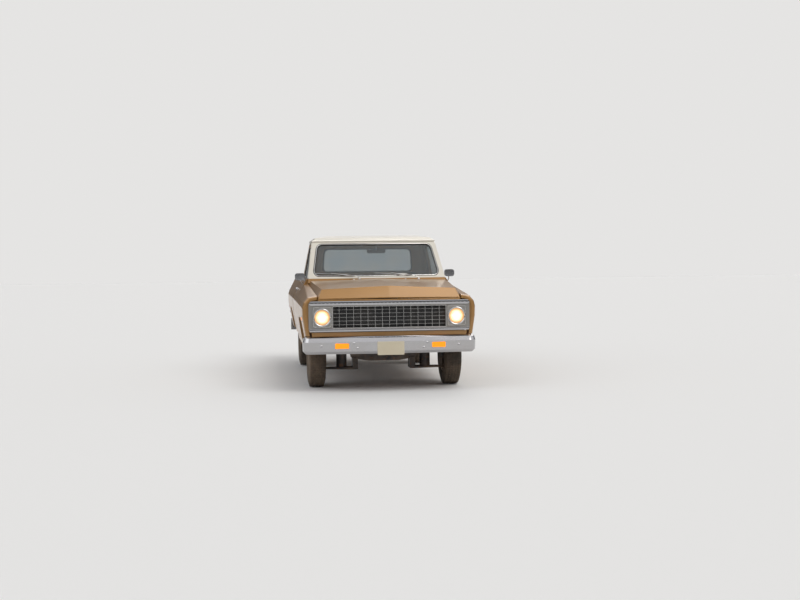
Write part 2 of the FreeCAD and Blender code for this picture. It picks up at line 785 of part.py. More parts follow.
def make_front_fenders():
    sections = [(fender_section(nose_station + behind, drawn_in), nose_station + behind)
                for behind, drawn_in in fender_nose_rounding]
    sections.append((fender_section(fender_rear_station, 0.0), fender_rear_station))
    plate_back = surround_face_station + surround_plate + seat_clearance
    closing_bottom = surround_bottom - panel_gap + seat_clearance
    closing_top = surround_top + 16.0
    closing_inner = headlamp_x + headlamp_bucket_radius + panel_gap
    closing = prism("XZ", [
        (closing_inner, closing_bottom), (surround_half_width + 18.0, closing_bottom),
        (surround_half_width + 35.0, 960.0, 12.0), (surround_half_width - 2.0, closing_top, 8.0),
        (closing_inner, closing_top),
    ], plate_back, plate_back + 8)
    fender = fused(loft("XZ", sections), closing)
    fender = fender.cut(prism("YZ", wheel_arch(front_axle_station), 700.0, side_reach))
    fender = fender.cut(surround_outline(seat_clearance, nose_station - 20.0, plate_back))
    fender = fender.cut(box(700.0, side_reach, 0.0, bumper_wrap_station + 2 * panel_gap, 0.0, bumper_top + panel_gap))
    valance = prism("XZ", both_sides([(headlamp_x + 107.0, 598.0), (headlamp_x + 121.0, surround_bottom - panel_gap)]),
                    nose_station, plate_back + 8)
    save("front_fenders", fender, mirrored(fender), valance)


def hood_outline(row, inset, lower):
    """Corners of one hood section; an inset gives its inner side."""
    station, below, edge_x, edge_z, ridge_z = row
    foot_x, foot_z = fender_edge(station)
    foot_x -= panel_gap + inset
    foot_z -= below + lower
    return [
        (foot_x, foot_z), (edge_x - inset, edge_z - inset), (0.0, ridge_z - inset),
        (inset - edge_x, edge_z - inset), (-foot_x, foot_z),
    ]


def make_hood():
    overrun = 5.0
    first, last = hood_sections[0], hood_sections[-1]
    stretched = [(first[0] - overrun,) + first[1:]] + hood_sections[1:-1] + [(last[0] + overrun,) + last[1:]]
    outer = loft("XZ", [(hood_outline(row, 0.0, 0.0), row[0]) for row in hood_sections])
    inner = loft("XZ", [(hood_outline(row, hood_thickness, overrun), row[0]) for row in stretched])
    save("hood_panel", outer.cut(inner))


def make_inner_fenders():
    s = front_axle_station
    front = 400.0
    rear = firewall_station - panel_gap
    ledges = []
    for station in (front, rear):
        edge_x, edge_z = fender_edge(station)
        top = edge_z - fender_thickness - 2 * seat_clearance
        corners = [(apron_face, top - 40.0), (edge_x + 1.0, top - sheet), (edge_x + 1.0, top), (apron_face, top - 35.0)]
        ledges.append((corners, station))
    front_top = ledges[0][0][0][1]
    rear_top = ledges[1][0][0][1]
    apron = prism("YZ", [
        (front, 620.0), (front, front_top + 3.0), (rear, rear_top + 3.0), (rear, 600.0), (s + 400.0, 600.0),
        (s + 320.0, 720.0, 60.0), (s + 200.0, 790.0, 60.0), (s - 200.0, 790.0, 60.0), (s - 320.0, 720.0, 60.0),
        (s - 400.0, 620.0),
    ], apron_face, apron_face + sheet)
    arch = prism("YZ", wheel_arch(s, 14.0), apron_face, body_half_width - 88.0)
    arch = arch.cut(prism("YZ", wheel_arch(s, 14.0 - sheet), 490.0, 940.0))
    arch = arch.common(box(490.0, 940.0, 0.0, 2000.0, 620.0, 900.0))
    edge_x, edge_z = fender_edge(hood_stop_station - hood_stop_radius)
    stop_x = edge_x - panel_gap - hood_thickness / 2
    stop_low = edge_z - fender_thickness - 15.0
    stop_top = edge_z - hood_sections[1][1] - seat_clearance
    stop = rod((stop_x, hood_stop_station, stop_low), (stop_x, hood_stop_station, stop_top), hood_stop_radius)
    inner = fused(apron, arch, loft("XZ", ledges), stop)
    save("inner_fenders", inner, mirrored(inner))


def make_radiator():
    top = surround_top - 2.0
    rail = frame_rail[0][2] + seat_clearance
    panel = box(-apron_face - 10, apron_face + 10, 385.0, 400.0 - seat_clearance, rail, top)
    panel = panel.cut(box(-320.0, 320.0, 380.0, 410.0, rail + 30.0, top - 40.0))
    core = box(-330.0, 330.0, 330.0, 386.0, rail, top - 20.0)
    shelf = box(-apron_face - 10, apron_face + 10, 320.0, 386.0, top - 6.0, top)
    save("radiator", fused(core, panel, shelf))


def make_grille():
    """Crossing bars in one piece: the egg-crate."""
    front = surround_face_station + surround_plate + seat_clearance
    back = front + grille_depth
    rim_x, rim_z = 10.0, 7.0
    outer = box(-grille_half_width, grille_half_width, front, back, grille_bottom, grille_top)
    hole = box(rim_x - grille_half_width, grille_half_width - rim_x, front - 5, back + 5,
               grille_bottom + rim_z, grille_top - rim_z)
    bars = []
    rows = round((grille_top - grille_bottom) / grille_cross_pitch)
    columns = round(2 * grille_half_width / grille_column_pitch)
    for i in range(1, rows):
        z = grille_bottom + (grille_top - grille_bottom) * i / rows
        bars.append(box(2 - grille_half_width, grille_half_width - 2, front + 2, back - 4,
                        z - grille_bar / 2, z + grille_bar / 2))
    for i in range(1, columns):
        x = 2 * grille_half_width * i / columns - grille_half_width
        bars.append(box(x - grille_bar / 2, x + grille_bar / 2, front + 4, back - 2,
                        grille_bottom + 2, grille_top - 2))
    save("grille", fused(outer.cut(hole), *bars))


def make_grille_surround():
    front = surround_face_station
    pieces = [
        surround_outline(0.0, front, front + surround_plate),
        rounded_box(0, surround_top - top_bar_height / 2, surround_half_width, top_bar_height / 2, 20.0,
                    front - bar_depth, front + 4),
        rounded_box(0, surround_bottom + bottom_bar_height / 2, surround_half_width, bottom_bar_height / 2, 12.0,
                    front - bar_depth + 4, front + 4),
    ]
    holes = [rounded_box(0, (grille_bottom + grille_top) / 2, grille_half_width - 6,
                         (grille_top - grille_bottom) / 2 - 4, 8.0, front - 50, front + 50)]
    for side in (1, -1):
        pieces.append(rounded_box(side * headlamp_x, headlamp_height + 6, bezel_half_width, bezel_half_height, 26.0,
                                  front - bezel_depth, front + 4))
        holes.append(rod((side * headlamp_x, front - 50, headlamp_height),
                         (side * headlamp_x, front + 50, headlamp_height), headlamp_hole_radius))
    surround = fused(*pieces).common(surround_outline(0.0, front - 50, front + 50))
    for hole in holes:
        surround = surround.cut(hole)
    save("grille_surround", surround)


def make_headlamps():
    front = surround_face_station - bezel_depth + 8.0
    back = surround_face_station + surround_plate + seat_clearance
    lamps = []
    for side in (1, -1):
        x, z = side * headlamp_x, headlamp_height
        dome = Part.makeSphere(300.0, Vector(x, along(front + 300.0), z))
        lens = dome.common(rod((x, front - 5, z), (x, front + 20, z), headlamp_radius))
        bowl = rod((x, front + 16, z), (x, back + 30, z), headlamp_radius)
        bucket = rod((x, back, z), (x, back + 50, z), headlamp_bucket_radius)
        lamps.append(fused(bowl, lens, bucket))
    save("headlamps", *lamps)


def make_front_bumper():
    turn = math.radians(bumper_bow_angle)
    middle_station = bumper_front_station - bumper_bow_radius * (1 / math.cos(turn) - 1)
    corner_station = middle_station + bumper_half_width * math.tan(turn)
    path = [
        (-bumper_half_width, bumper_wrap_station, 0.0, 0.0),
        (-bumper_half_width, corner_station, 0.0, bumper_corner_radius),
        (0.0, middle_station, 0.0, bumper_bow_radius),
        (bumper_half_width, corner_station, 0.0, bumper_corner_radius),
        (bumper_half_width, bumper_wrap_station, 0.0, 0.0),
    ]
    outline = bumper_face + offset_path(bumper_face, bumper_thickness)[::-1]
    corners = [Vector(back - bumper_half_width, along(bumper_wrap_station), z) for back, z in outline]
    bumper = swept(Part.makePolygon(corners + corners[:1]), path)
    rail_middle = (frame_inner + frame_outer) / 2
    brackets = [box(side * rail_middle - 20, side * rail_middle + 20, bumper_front_station + 21.0,
                    frame_rail[0][0] - seat_clearance, 490.0, 570.0) for side in (1, -1)]
    bumper = fused(bumper, *brackets)
    for side in (1, -1):
        bumper = bumper.cut(rounded_box(side * parking_lamp_x, parking_lamp_height,
                                        parking_lamp_width / 2 + seat_clearance, parking_lamp_tall / 2 + seat_clearance,
                                        12.0, -50.0, 90.0))
    save("front_bumper", bumper)


def make_parking_lamps():
    front = bumper_front_station + parking_lamp_x * math.tan(math.radians(bumper_bow_angle)) - 6.0
    lamps = [rounded_box(side * parking_lamp_x, parking_lamp_height, parking_lamp_width / 2, parking_lamp_tall / 2,
                         12.0, front, front + 45.0) for side in (1, -1)]
    save("parking_lamps", *lamps)


def make_front_plate():
    plate = rounded_box(0, plate_height, plate_width / 2, plate_tall / 2, 12.0, 0.0, plate_thickness)
    save("front_plate", plate)


# Cab


def make_cab_shell():
    block_half = body_half_width + 7.0
    lower = prism("XZ", both_sides(side_corners(rocker_bottom, belt_height)), fender_rear_station, cab_back_station)
    lower = lower.common(prism("XY", [
        (-block_half, firewall_station), (block_half, firewall_station),
        (block_half, cab_back_station, 70.0), (-block_half, cab_back_station, 70.0),
    ], 0.0, 2000.0))
    cowl_side = offset_path([corner[:2] for corner in side_corners(rocker_bottom, belt_height - 112.0)], fender_thickness + 8.0)
    cowl_side[-1] = (cowl_side[-1][0], rocker_bottom)
    cowl_x = hood_sections[-1][2] + panel_gap
    front_part = prism("XZ", both_sides([(cowl_x, belt_height - 72.0), (cowl_x, belt_height - 122.0)] + cowl_side), firewall_station, fender_rear_station + 1)
    cowl = prism("XZ", both_sides([(cowl_x + 6.0, belt_height - 74.0), (cowl_x - 2.0, belt_height - 24.0), (0.0, belt_height)]),
                 hood_rear_station + panel_gap, 1560.0)
    upper = cab_block(0.0, belt_height - 49.0, roof_rail_height)
    shell = fused(lower, front_part, cowl, upper)
    inner_face = door_inner_face - panel_gap
    waist = belt_height - 62.0
    shell = shell.cut(box(-inner_face, inner_face, firewall_station + floor_thickness, cab_back_station - back_wall,
                          floor_top, waist))
    shell = shell.cut(cab_block(pillar_thickness, waist - 1, roof_rail_height + 10))
    shell = shell.cut(box(75 - door_inner_face, door_inner_face - 75, firewall_station - 100, cab_back_station + 5, 400, floor_top - floor_thickness))
    lower_opening = prism("YZ", door_outline(panel_gap), inner_face, side_reach)
    upper_opening = prism("YZ", door_outline(panel_gap), body_half_width - 313.0, side_reach)
    upper_opening = upper_opening.common(box(0, side_reach, firewall_station - 40, cab_back_station + 45,
                                             belt_height - 37, roof_rail_height + 28))
    for opening in (lower_opening.common(door_swing(panel_gap)), upper_opening.common(door_swing(panel_gap))):
        shell = shell.cut(opening).cut(mirrored(opening))
    shell = shell.cut(prism("XZ", both_sides(windshield_opening), 1200.0, 1860.0))
    shell = shell.cut(prism("XZ", both_sides(rear_window_opening), 2590.0, 2800.0))
    striker = rod((striker_x, door_rear_station - striker_reach, striker_height),
                  (striker_x, door_rear_station + 40, striker_height), striker_radius)
    save("cab_shell", fused(shell, striker, mirrored(striker)))


def make_cab_glass():
    skin = cab_skin(glass_inset, glass_thickness, windshield_opening[0][1] - 40, roof_rail_height - 10)
    windshield = skin.common(prism("XZ", both_sides(windshield_opening), 1200.0, 1860.0))
    rear_window = skin.common(prism("XZ", both_sides(rear_window_opening), 2590.0, 2800.0))
    save("cab_glass", windshield, rear_window)


def roof_outline(height, inset):
    """The cab's plan at the roof rail, moved to a height above it."""
    outline = cab_outline(roof_rail_height, inset)
    outline.translate(Vector(0, 0, height + seat_clearance))
    return outline


def make_cab_roof():
    layers = [Part.makeLoft([roof_outline(low, low_in), roof_outline(high, high_in)], True, True)
              for (low, low_in), (high, high_in) in zip(roof_layers, roof_layers[1:])]
    hollow = Part.makeLoft([roof_outline(-1.0, pillar_thickness), roof_outline(46.0, 130.0)], True, True)
    save("cab_roof", fused(*layers).cut(hollow))


def make_doors():
    slab = prism("XZ", [(door_inner_face, door_bottom), (door_inner_face, belt_height)]
                 + side_corners(door_bottom, belt_height), door_front_station, door_rear_station + 5)
    frame = cab_skin(2.0, door_frame_thickness, belt_height - 8, door_top + 10)
    frame = frame.common(box(body_half_width - 403.0, body_half_width, 1400, 2700, belt_height - 10, door_top + 20))
    outline = prism("YZ", door_outline(0.0), body_half_width - 403.0, side_reach)
    window = prism("YZ", window_outline(), body_half_width - 403.0, side_reach)
    slab, frame = [piece.common(outline).common(door_swing(0.0)).cut(window) for piece in (slab, frame)]
    door = fused(slab, frame)
    latch = striker_radius + seat_clearance
    door = door.cut(box(door_inner_face - 5, striker_x + 2 * striker_radius, door_rear_station - striker_reach - panel_gap,
                        door_rear_station + 50, striker_height - latch, striker_height + latch))
    glass = cab_skin(14.0, glass_thickness, belt_height, door_top).common(window)
    save("door_left", door)
    save("door_right", mirrored(door))
    save("door_glass_left", glass)
    save("door_glass_right", mirrored(glass))
    for name, x, height in (("left", body_half_width - 73.0, belt_height + 56.0), ("right", body_half_width - 53.0, belt_height + 28.0)):
        mirror = mirror_head(x, 1580.0, height).cut(door)
        save("mirror_" + name, mirror if name == "left" else mirrored(mirror))


def mirror_head(x, station, z):
    """A round-cornered mirror head with its stalk down to the door's belt."""
    head = rounded_box(x, z, 62.0, 44.0, 30.0, station, station + 24.0)
    foot_x = side_half_width(belt_height - 52.0)
    stalk = tube([
        (x - 6, station + 12.0, z - 30.0, 0), (x - 8, station + 16.0, belt_height - 26.0, 14.0),
        (foot_x - 16, station + 40.0, belt_height - 72.0, 0),
    ], 7.0)
    return fused(head, stalk)


def steering_point(distance):
    """A place on the steering axis, a distance down the column from the wheel's centre."""
    lean = math.radians(steering_lean)
    return (steering_wheel_x, steering_wheel_station - distance * math.cos(lean),
            steering_wheel_height - distance * math.sin(lean))


def make_dashboard():
    front = firewall_station + floor_thickness + seat_clearance
    half = door_inner_face - panel_gap - seat_clearance
    top = belt_height - 72.0
    dash = prism("YZ", [
        (front, top), (front, top - 110.0), (1560.0, top - 230.0, 20.0), (1610.0, top - 230.0, 10.0),
        (1640.0, top - 70.0, 24.0), (1590.0, top, 20.0),
    ], -half, half)
    binnacle = prism("YZ", [(1560.0, top - 100.0), (1660.0, top - 90.0, 14.0), (1640.0, top - 4.0, 14.0), (1560.0, top)],
                     190.0, 600.0)
    room = rod(steering_point(0.0), steering_point(700.0), column_radius + seat_clearance)
    save("dashboard", fused(dash, binnacle).cut(room))


def make_steering():
    firewall_face = firewall_station + floor_thickness + seat_clearance
    column = rod(steering_point(steering_hub_length), steering_point(700.0), column_radius)
    save("steering_column", column.common(box(0, 900, firewall_face, 2200, 0, 2000)))
    lean = math.radians(steering_lean)
    axis = Vector(0, math.cos(lean), math.sin(lean))
    up = Vector(0, -math.sin(lean), math.cos(lean))
    centre = Vector(steering_wheel_x, along(steering_wheel_station), steering_wheel_height)
    pieces = [
        Part.makeTorus(steering_wheel_radius, steering_rim_radius, centre, axis),
        rod(steering_point(steering_hub_length - seat_clearance), steering_point(-4.0), 42.0),
    ]
    for side in (1, -1):
        out = Vector(side, 0, 0) * (steering_wheel_radius - 2) - up * 40
        pieces.append(Part.makeCylinder(10.0, out.Length, centre - axis * 12, out + axis * 10))
    save("steering_wheel", fused(*pieces))


def make_seat():
    base_top = 720.0
    half = door_inner_face - 115.0
    base = box(60.0 - half, half - 60.0, 2030.0, 2630.0, floor_top + seat_clearance, base_top)
    cushion = prism("YZ", [
        (1990.0, 715.0, 20.0), (1975.0, 880.0, 50.0), (2436.0, 846.0, 20.0), (2462.0, 715.0, 10.0),
    ], -half, half)
    back = prism("YZ", [
        (2470.0, base_top + seat_clearance, 10.0), (2442.0, 860.0, 20.0), (2550.0, 1318.0, 50.0),
        (2640.0, 1318.0, 40.0), (2690.0, 1240.0, 20.0), (2640.0, base_top + seat_clearance, 10.0),
    ], -half, half)
    save("seat_cushion", fused(cushion, base))
    save("seat_back", back)


# Load bed


def make_bed():
    floor_bottom = bed_floor_top - bed_floor_thickness
    outer = side_corners(bed_side_bottom, bed_rail_height)
    side = prism("XZ", [
        (outer[-1][0] - bed_skin, bed_side_bottom), (side_half_width(floor_bottom) - bed_skin, floor_bottom),
        (bed_inner_face, floor_bottom), (bed_inner_face, bed_rail_height),
    ] + outer, bed_front_station, bed_rear_station)
    side = side.cut(prism("YZ", wheel_arch(rear_axle_station), bed_inner_face - 20, side_reach))
    gate_rear = bed_rear_station - 8.0
    gate_front = gate_rear - tailgate_thickness
    pivot_station = (gate_rear + gate_front) / 2
    pillar = box(tailgate_half_width + panel_gap, bed_inner_face + 1, gate_front, bed_rear_station,
                 floor_bottom, bed_rail_height)
    pin_end = tailgate_half_width + panel_gap + 24.0
    bore = rod((tailgate_half_width, pivot_station, tailgate_pivot_height),
               (pin_end + panel_gap, pivot_station, tailgate_pivot_height), tailgate_pin_radius + spindle_clearance)
    lamp_x = side_half_width(900.0) - 62.0
    lamp_middle = (tail_lamp_bottom + tail_lamp_top) / 2
    lamp_half = (tail_lamp_top - tail_lamp_bottom) / 2
    recess = rounded_box(lamp_x, lamp_middle, tail_lamp_half_width + seat_clearance, lamp_half + seat_clearance, 14.0,
                         bed_rear_station - tail_lamp_depth, bed_rear_station + 10)
    side = fused(side, pillar).cut(bore).cut(recess)
    save("bed_sides", side, mirrored(side))
    lamp = rounded_box(lamp_x, lamp_middle, tail_lamp_half_width, lamp_half, 14.0,
                       bed_rear_station - tail_lamp_depth + seat_clearance, bed_rear_station + 8.0)
    save("tail_lamps", lamp, mirrored(lamp))

    half = bed_inner_face - seat_clearance
    floor_end = gate_front - 12.0
    floor = box(-half, half, bed_front_station, floor_end, floor_bottom, bed_floor_top)
    front = box(-half, half, bed_front_station, bed_front_station + bed_wall, floor_bottom, bed_rail_height)
    sills = []
    for s in bed_sill_stations:
        seat = max(rail_top(s - 30), rail_top(s + 30)) + seat_clearance
        sills.append(box(-half + 10, half - 10, s - 30, s + 30, 660.0, floor_bottom))
        sills += [box(frame_inner, frame_outer, s - 30, s + 30, seat, 665.0),
                  box(-frame_outer, -frame_inner, s - 30, s + 30, seat, 665.0)]
    arch = prism("YZ", wheel_arch(rear_axle_station, 20.0), bed_housing_face, half)
    tunnel = prism("YZ", wheel_arch(rear_axle_station, 20.0 - sheet), bed_housing_face + sheet, 900.0)
    arch = arch.cut(tunnel).common(box(500, 900, 3000, 4600, floor_bottom, 1000))
    bed = fused(floor, front, *sills).cut(tunnel).cut(mirrored(tunnel))
    save("bed_inner", fused(bed, arch, mirrored(arch)))

    gate_bottom = tailgate_pivot_height - 17.0
    gate = prism("YZ", [
        (gate_rear, gate_bottom, 14.0), (gate_rear, bed_rail_height, 4.0), (gate_front, bed_rail_height, 4.0),
        (gate_front, gate_bottom, 14.0),
    ], -tailgate_half_width, tailgate_half_width)
    pins = rod((-pin_end, pivot_station, tailgate_pivot_height), (pin_end, pivot_station, tailgate_pivot_height),
               tailgate_pin_radius)
    save("tailgate", fused(gate, pins))


def make_rear_bumper():
    front = bed_rear_station + rear_bumper_gap
    skin = 6.0
    path = [(front, rear_bumper_top), (overall_length - 10, rear_bumper_top), (overall_length, rear_bumper_top - 16),
            (overall_length, rear_bumper_bottom + 30), (overall_length - 24, rear_bumper_bottom)]
    channel = prism("YZ", path + offset_path(path, skin)[::-1], -rear_bumper_half_width, rear_bumper_half_width)
    channel = channel.cut(box(-step_half_width, step_half_width, front - 10, overall_length + 10,
                              step_height - 1, rear_bumper_top + 10))
    tread = box(-step_half_width - skin, step_half_width + skin, front, overall_length - 1, step_height - skin, step_height)
    cheeks = [box(min(a, b), max(a, b), front, overall_length - 12, step_height - skin, rear_bumper_top - 1)
              for a, b in ((step_half_width, step_half_width + skin), (-step_half_width - skin, -step_half_width))]
    rail_end = frame_rail[-1][0] + seat_clearance
    brackets = [box(min(a, b), max(a, b), rail_end, overall_length - 3, 520.0, 600.0)
                for a, b in ((frame_inner + 10, frame_outer - 10), (10 - frame_outer, -frame_inner - 10))]
    bumper = fused(channel, tread, *cheeks, *brackets)
    hitch_station = (front + overall_length) / 2
    bumper = bumper.cut(rod((0, hitch_station, step_height - 30), (0, hitch_station, step_height + 30), hitch_hole_radius))
    for side in (1, -1):
        x = side * rear_plate_hole_spacing / 2
        bumper = bumper.cut(rod((x, overall_length - 30, 520.0), (x, overall_length + 10, 520.0), rear_plate_hole_radius))
    save("rear_bumper", bumper)


if __name__ == "__main__":
    make_wheels()
    make_chassis()
    make_front_suspension()
    make_knuckles()
    make_rear_axle()
    make_driveline()
    make_engine()
    make_exhaust()
    make_front_fenders()
    make_hood()
    make_inner_fenders()
    make_radiator()
    make_grille()
    make_grille_surround()
    make_headlamps()
    make_front_bumper()
    make_parking_lamps()
    make_front_plate()
    make_cab_shell()
    make_cab_glass()
    make_cab_roof()
    make_doors()
    make_dashboard()
    make_steering()
    make_seat()
    make_bed()
    make_rear_bumper()
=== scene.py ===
import json
import math
import bmesh
import bpy
from mathutils import Matrix, Vector
from mathutils.bvhtree import BVHTree


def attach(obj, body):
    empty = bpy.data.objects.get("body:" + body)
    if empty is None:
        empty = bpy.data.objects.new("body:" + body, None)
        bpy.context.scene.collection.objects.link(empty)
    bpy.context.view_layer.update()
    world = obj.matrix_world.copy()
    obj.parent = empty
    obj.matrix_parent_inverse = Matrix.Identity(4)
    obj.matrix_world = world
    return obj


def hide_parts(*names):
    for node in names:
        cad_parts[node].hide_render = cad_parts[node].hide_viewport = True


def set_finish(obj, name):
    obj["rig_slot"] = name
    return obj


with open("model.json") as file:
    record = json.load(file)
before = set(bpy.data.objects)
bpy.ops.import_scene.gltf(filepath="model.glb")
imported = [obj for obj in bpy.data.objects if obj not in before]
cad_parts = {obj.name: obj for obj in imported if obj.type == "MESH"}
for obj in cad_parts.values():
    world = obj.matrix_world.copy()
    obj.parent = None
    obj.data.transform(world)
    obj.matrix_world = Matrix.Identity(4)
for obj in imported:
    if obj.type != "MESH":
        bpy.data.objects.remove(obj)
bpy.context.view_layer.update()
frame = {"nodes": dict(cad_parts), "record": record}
bodyY = 2.44  # the nose stands at Y -2.44, and a station is a distance behind it


def at(x, station, z):  # a place on the truck from its station in metres
    return Vector((x, station - bodyY, z))


def route(*spots):  # a path through places on the truck
    return [at(*spot) for spot in spots]


class Value:  # a socket that can be used in sums
    def __init__(self, finish, socket):
        self.finish, self.socket = finish, socket

    def sum(self, kind, first, second):
        return self.finish.node("ShaderNodeMath", {"operation": kind}, {0: first, 1: second})

    def __add__(self, other):
        return self.sum("ADD", self, other)

    def __sub__(self, other):
        return self.sum("SUBTRACT", self, other)

    def __mul__(self, other):
        return self.sum("MULTIPLY", self, other)

    def __pow__(self, other):
        return self.sum("POWER", self, other)


class Finish:
    def __init__(self, name, colour=(0.5, 0.5, 0.5), **fixed):
        self.material = bpy.data.materials.new(name)
        self.material.use_nodes = True
        self.tree = self.material.node_tree
        self.shader = self.tree.nodes["Principled BSDF"]
        self.shader.inputs["Base Color"].default_value = (*colour, 1)
        self.place = self.node("ShaderNodeTexCoord", out="Object")
        for key, value in fixed.items():
            self.shader.inputs[key.replace("_", " ")].default_value = value

    def node(self, kind, settings=None, inputs=None, out=0):
        node = self.tree.nodes.new(kind)
        for key, value in (settings or {}).items():
            if key == "stops":
                ramp = node.color_ramp
                for spot, colour in value[:-2]:
                    ramp.elements.new(spot)
                for element, (spot, colour) in zip(ramp.elements, value):
                    element.position = spot
                    element.color = colour if len(colour) == 4 else (*colour, 1)
            else:
                setattr(node, key, value)
        for key, value in (inputs or {}).items():
            if isinstance(value, Value):
                self.tree.links.new(value.socket, node.inputs[key])
            else:
                node.inputs[key].default_value = value
        return Value(self, node.outputs[out])

    def noise(self, scale, detail=3.0, rough=0.55, stretch=None):
        where = self.place
        if stretch:
            where = self.node("ShaderNodeMapping", {}, {"Vector": where, "Scale": stretch})
        return self.node("ShaderNodeTexNoise", {}, {
            "Vector": where, "Scale": scale, "Detail": detail, "Roughness": rough})

    def ramp(self, value, *stops):
        grey = [(spot, colour if isinstance(colour, tuple) else (colour,) * 3) for spot, colour in stops]
        return self.node("ShaderNodeValToRGB", {"stops": grey}, {"Fac": value})

    def blend(self, share, first, second):
        pick = {"Factor": share}
        for key, colour in ((6, first), (7, second)):
            pick[key] = colour if isinstance(colour, Value) else (*colour, 1)
        return self.node("ShaderNodeMix", {"data_type": "RGBA"}, pick, out=2)

    def height(self):
        return self.node("ShaderNodeSeparateXYZ", {}, {"Vector": self.place}, out="Z")

    def span(self, value, low, high, first=0.0, last=1.0):
        return self.node("ShaderNodeMapRange", {}, {
            "Value": value, "From Min": low, "From Max": high, "To Min": first, "To Max": last})

    def bump(self, height, strength=0.2, distance=0.001):
        normal = self.node("ShaderNodeBump", {}, {"Height": height, "Strength": strength, "Distance": distance})
        return self.link("Normal", normal)

    def link(self, name, value):
        self.tree.links.new(value.socket, self.shader.inputs[name])
        return self


print("finishes")
dustColour = (0.50, 0.36, 0.24)


def dusted(finish, colour, amount, roughness, grime=0.25):  # road dust, thicker near the ground and in soft patches
    cloud = finish.noise(2.3, 5.0, 0.62)
    speck = finish.noise(160.0, 2.0, 0.6)
    low = finish.span(finish.height(), 0.25, 1.15, 1.0, 0.12)
    share = finish.span(cloud * 0.75 + speck * 0.25, 0.36, 0.68) * low * amount
    soft = finish.blend(finish.span(finish.noise(0.9, 3.0), 0.3, 0.7, grime * 0.4, 0.0), colour, (0, 0, 0))
    finish.link("Base Color", finish.blend(share, soft, dustColour))
    finish.link("Roughness", finish.span(share, 0.0, 1.0, roughness, 0.85))
    return share


def paintFinish(name, colour, amount=0.5, roughness=0.32, flake=0.0):
    finish = Finish(name, Coat_Weight=0.5, Coat_Roughness=0.10, Specular_IOR_Level=0.42, Metallic=flake)
    dusted(finish, colour, amount, roughness)
    return finish.bump(finish.noise(420.0, 1.0), 0.04, 0.0004).material


def cabFinish(name, lower, upper, amount):  # the cab's outside changes colour above its waist
    waist = {"line": 1.2665, "middle": -0.34}
    finish = Finish(name, Coat_Weight=0.5, Coat_Roughness=0.10, Specular_IOR_Level=0.42)
    faces = finish.node("ShaderNodeTexCoord", out="Normal")
    spot = [finish.node("ShaderNodeSeparateXYZ", {}, {"Vector": value}, out=axis)
            for value, axis in ((finish.place, "X"), (finish.place, "Y"), (faces, "X"), (faces, "Y"))]
    outwards = spot[0] * spot[2] + (spot[1] - waist["middle"]) * spot[3]
    above = finish.span(finish.height(), waist["line"], waist["line"] + 0.001) * finish.span(outwards, 0.02, 0.06)
    dusted(finish, finish.blend(above, lower, upper), amount, 0.28)
    finish.link("Metallic", finish.span(above, 0.0, 1.0, 0.25, 0.0))
    return finish.bump(finish.noise(420.0, 1.0), 0.04, 0.0004).material


def brightFinish(name, colour, roughness, amount, grain=None):
    finish = Finish(name, Metallic=1.0)
    share = dusted(finish, colour, amount, roughness, 0.15)
    finish.link("Metallic", finish.span(share, 0.0, 1.0, 1.0, 0.35))
    return finish.bump(finish.noise(300.0, 2.0, 0.5, grain), 0.06, 0.0005).material


def rubberFinish(name, colour, amount, fine=900.0):
    finish = Finish(name, Specular_IOR_Level=0.3)
    dusted(finish, colour, amount, 0.72)
    return finish.bump(finish.noise(fine, 3.0), 0.25, 0.0004).material


def chassisFinish(name):
    finish = Finish(name, Specular_IOR_Level=0.4)
    rust = finish.ramp(finish.noise(14.0, 6.0, 0.7), (0.56, 0.0), (0.66, 1.0))
    mix = finish.blend(rust, (0.035, 0.035, 0.037), (0.16, 0.085, 0.05))
    share = finish.span(finish.noise(3.0, 5.0), 0.42, 0.75) * 0.45
    finish.link("Base Color", finish.blend(share, mix, dustColour))
    finish.link("Roughness", finish.span(rust, 0.0, 1.0, 0.5, 0.85))
    return finish.bump(finish.noise(120.0, 4.0), 0.3, 0.001).material


def castFinish(name, colour, roughness=0.6):
    finish = Finish(name, Metallic=0.4)
    tone = finish.ramp(finish.noise(20.0, 5.0), (0.35, tuple(c * 0.7 for c in colour)), (0.7, colour))
    finish.link("Base Color", tone)
    finish.link("Roughness", finish.span(finish.noise(60.0), 0.3, 0.7, roughness - 0.12, roughness + 0.15))
    return finish.bump(finish.noise(500.0, 3.0), 0.4, 0.0006).material


def exhaustFinish(name):
    finish = Finish(name, Metallic=0.85)
    rust = finish.ramp(finish.noise(9.0, 6.0, 0.7), (0.4, (0.36, 0.33, 0.30)), (0.62, (0.30, 0.16, 0.09)))
    finish.link("Base Color", rust)
    finish.link("Roughness", finish.span(finish.noise(30.0), 0.3, 0.7, 0.4, 0.8))
    return finish.bump(finish.noise(200.0, 4.0), 0.3, 0.0006).material


def glassFinish(name, colour, dust, clear=1.0):
    finish = Finish(name, colour, Roughness=0.02, Transmission_Weight=clear, IOR=1.45, Specular_IOR_Level=0.3)
    film = finish.span(finish.noise(3.5, 2.0, 0.55), 0.4, 0.8) * dust
    finish.link("Roughness", film * 0.2 + 0.02)
    finish.link("Base Color", finish.blend(film, colour, (0.75, 0.66, 0.55)))
    return finish.bump(finish.noise(4.0, 1.0), 0.02, 0.001).material


def lampFinish(name, colour, glow, power, flute):
    finish = Finish(name, colour, Roughness=0.2, Coat_Weight=0.15, Coat_Roughness=0.05, Specular_IOR_Level=0.3,
                    Emission_Strength=power)
    where = finish.node("ShaderNodeSeparateXYZ", {}, {"Vector": finish.place}, out="X")
    lines = where.sum("PINGPONG", where * flute, 1.0)
    patch = finish.noise(55.0, 1.0)
    finish.link("Emission Color", finish.blend(finish.span(patch, 0.25, 0.75), tuple(c * 0.82 for c in glow), glow))
    finish.link("Base Color", finish.blend(lines * 0.35, colour, tuple(c * 0.6 for c in colour)))
    return finish.bump(lines, 0.35, 0.0012).material


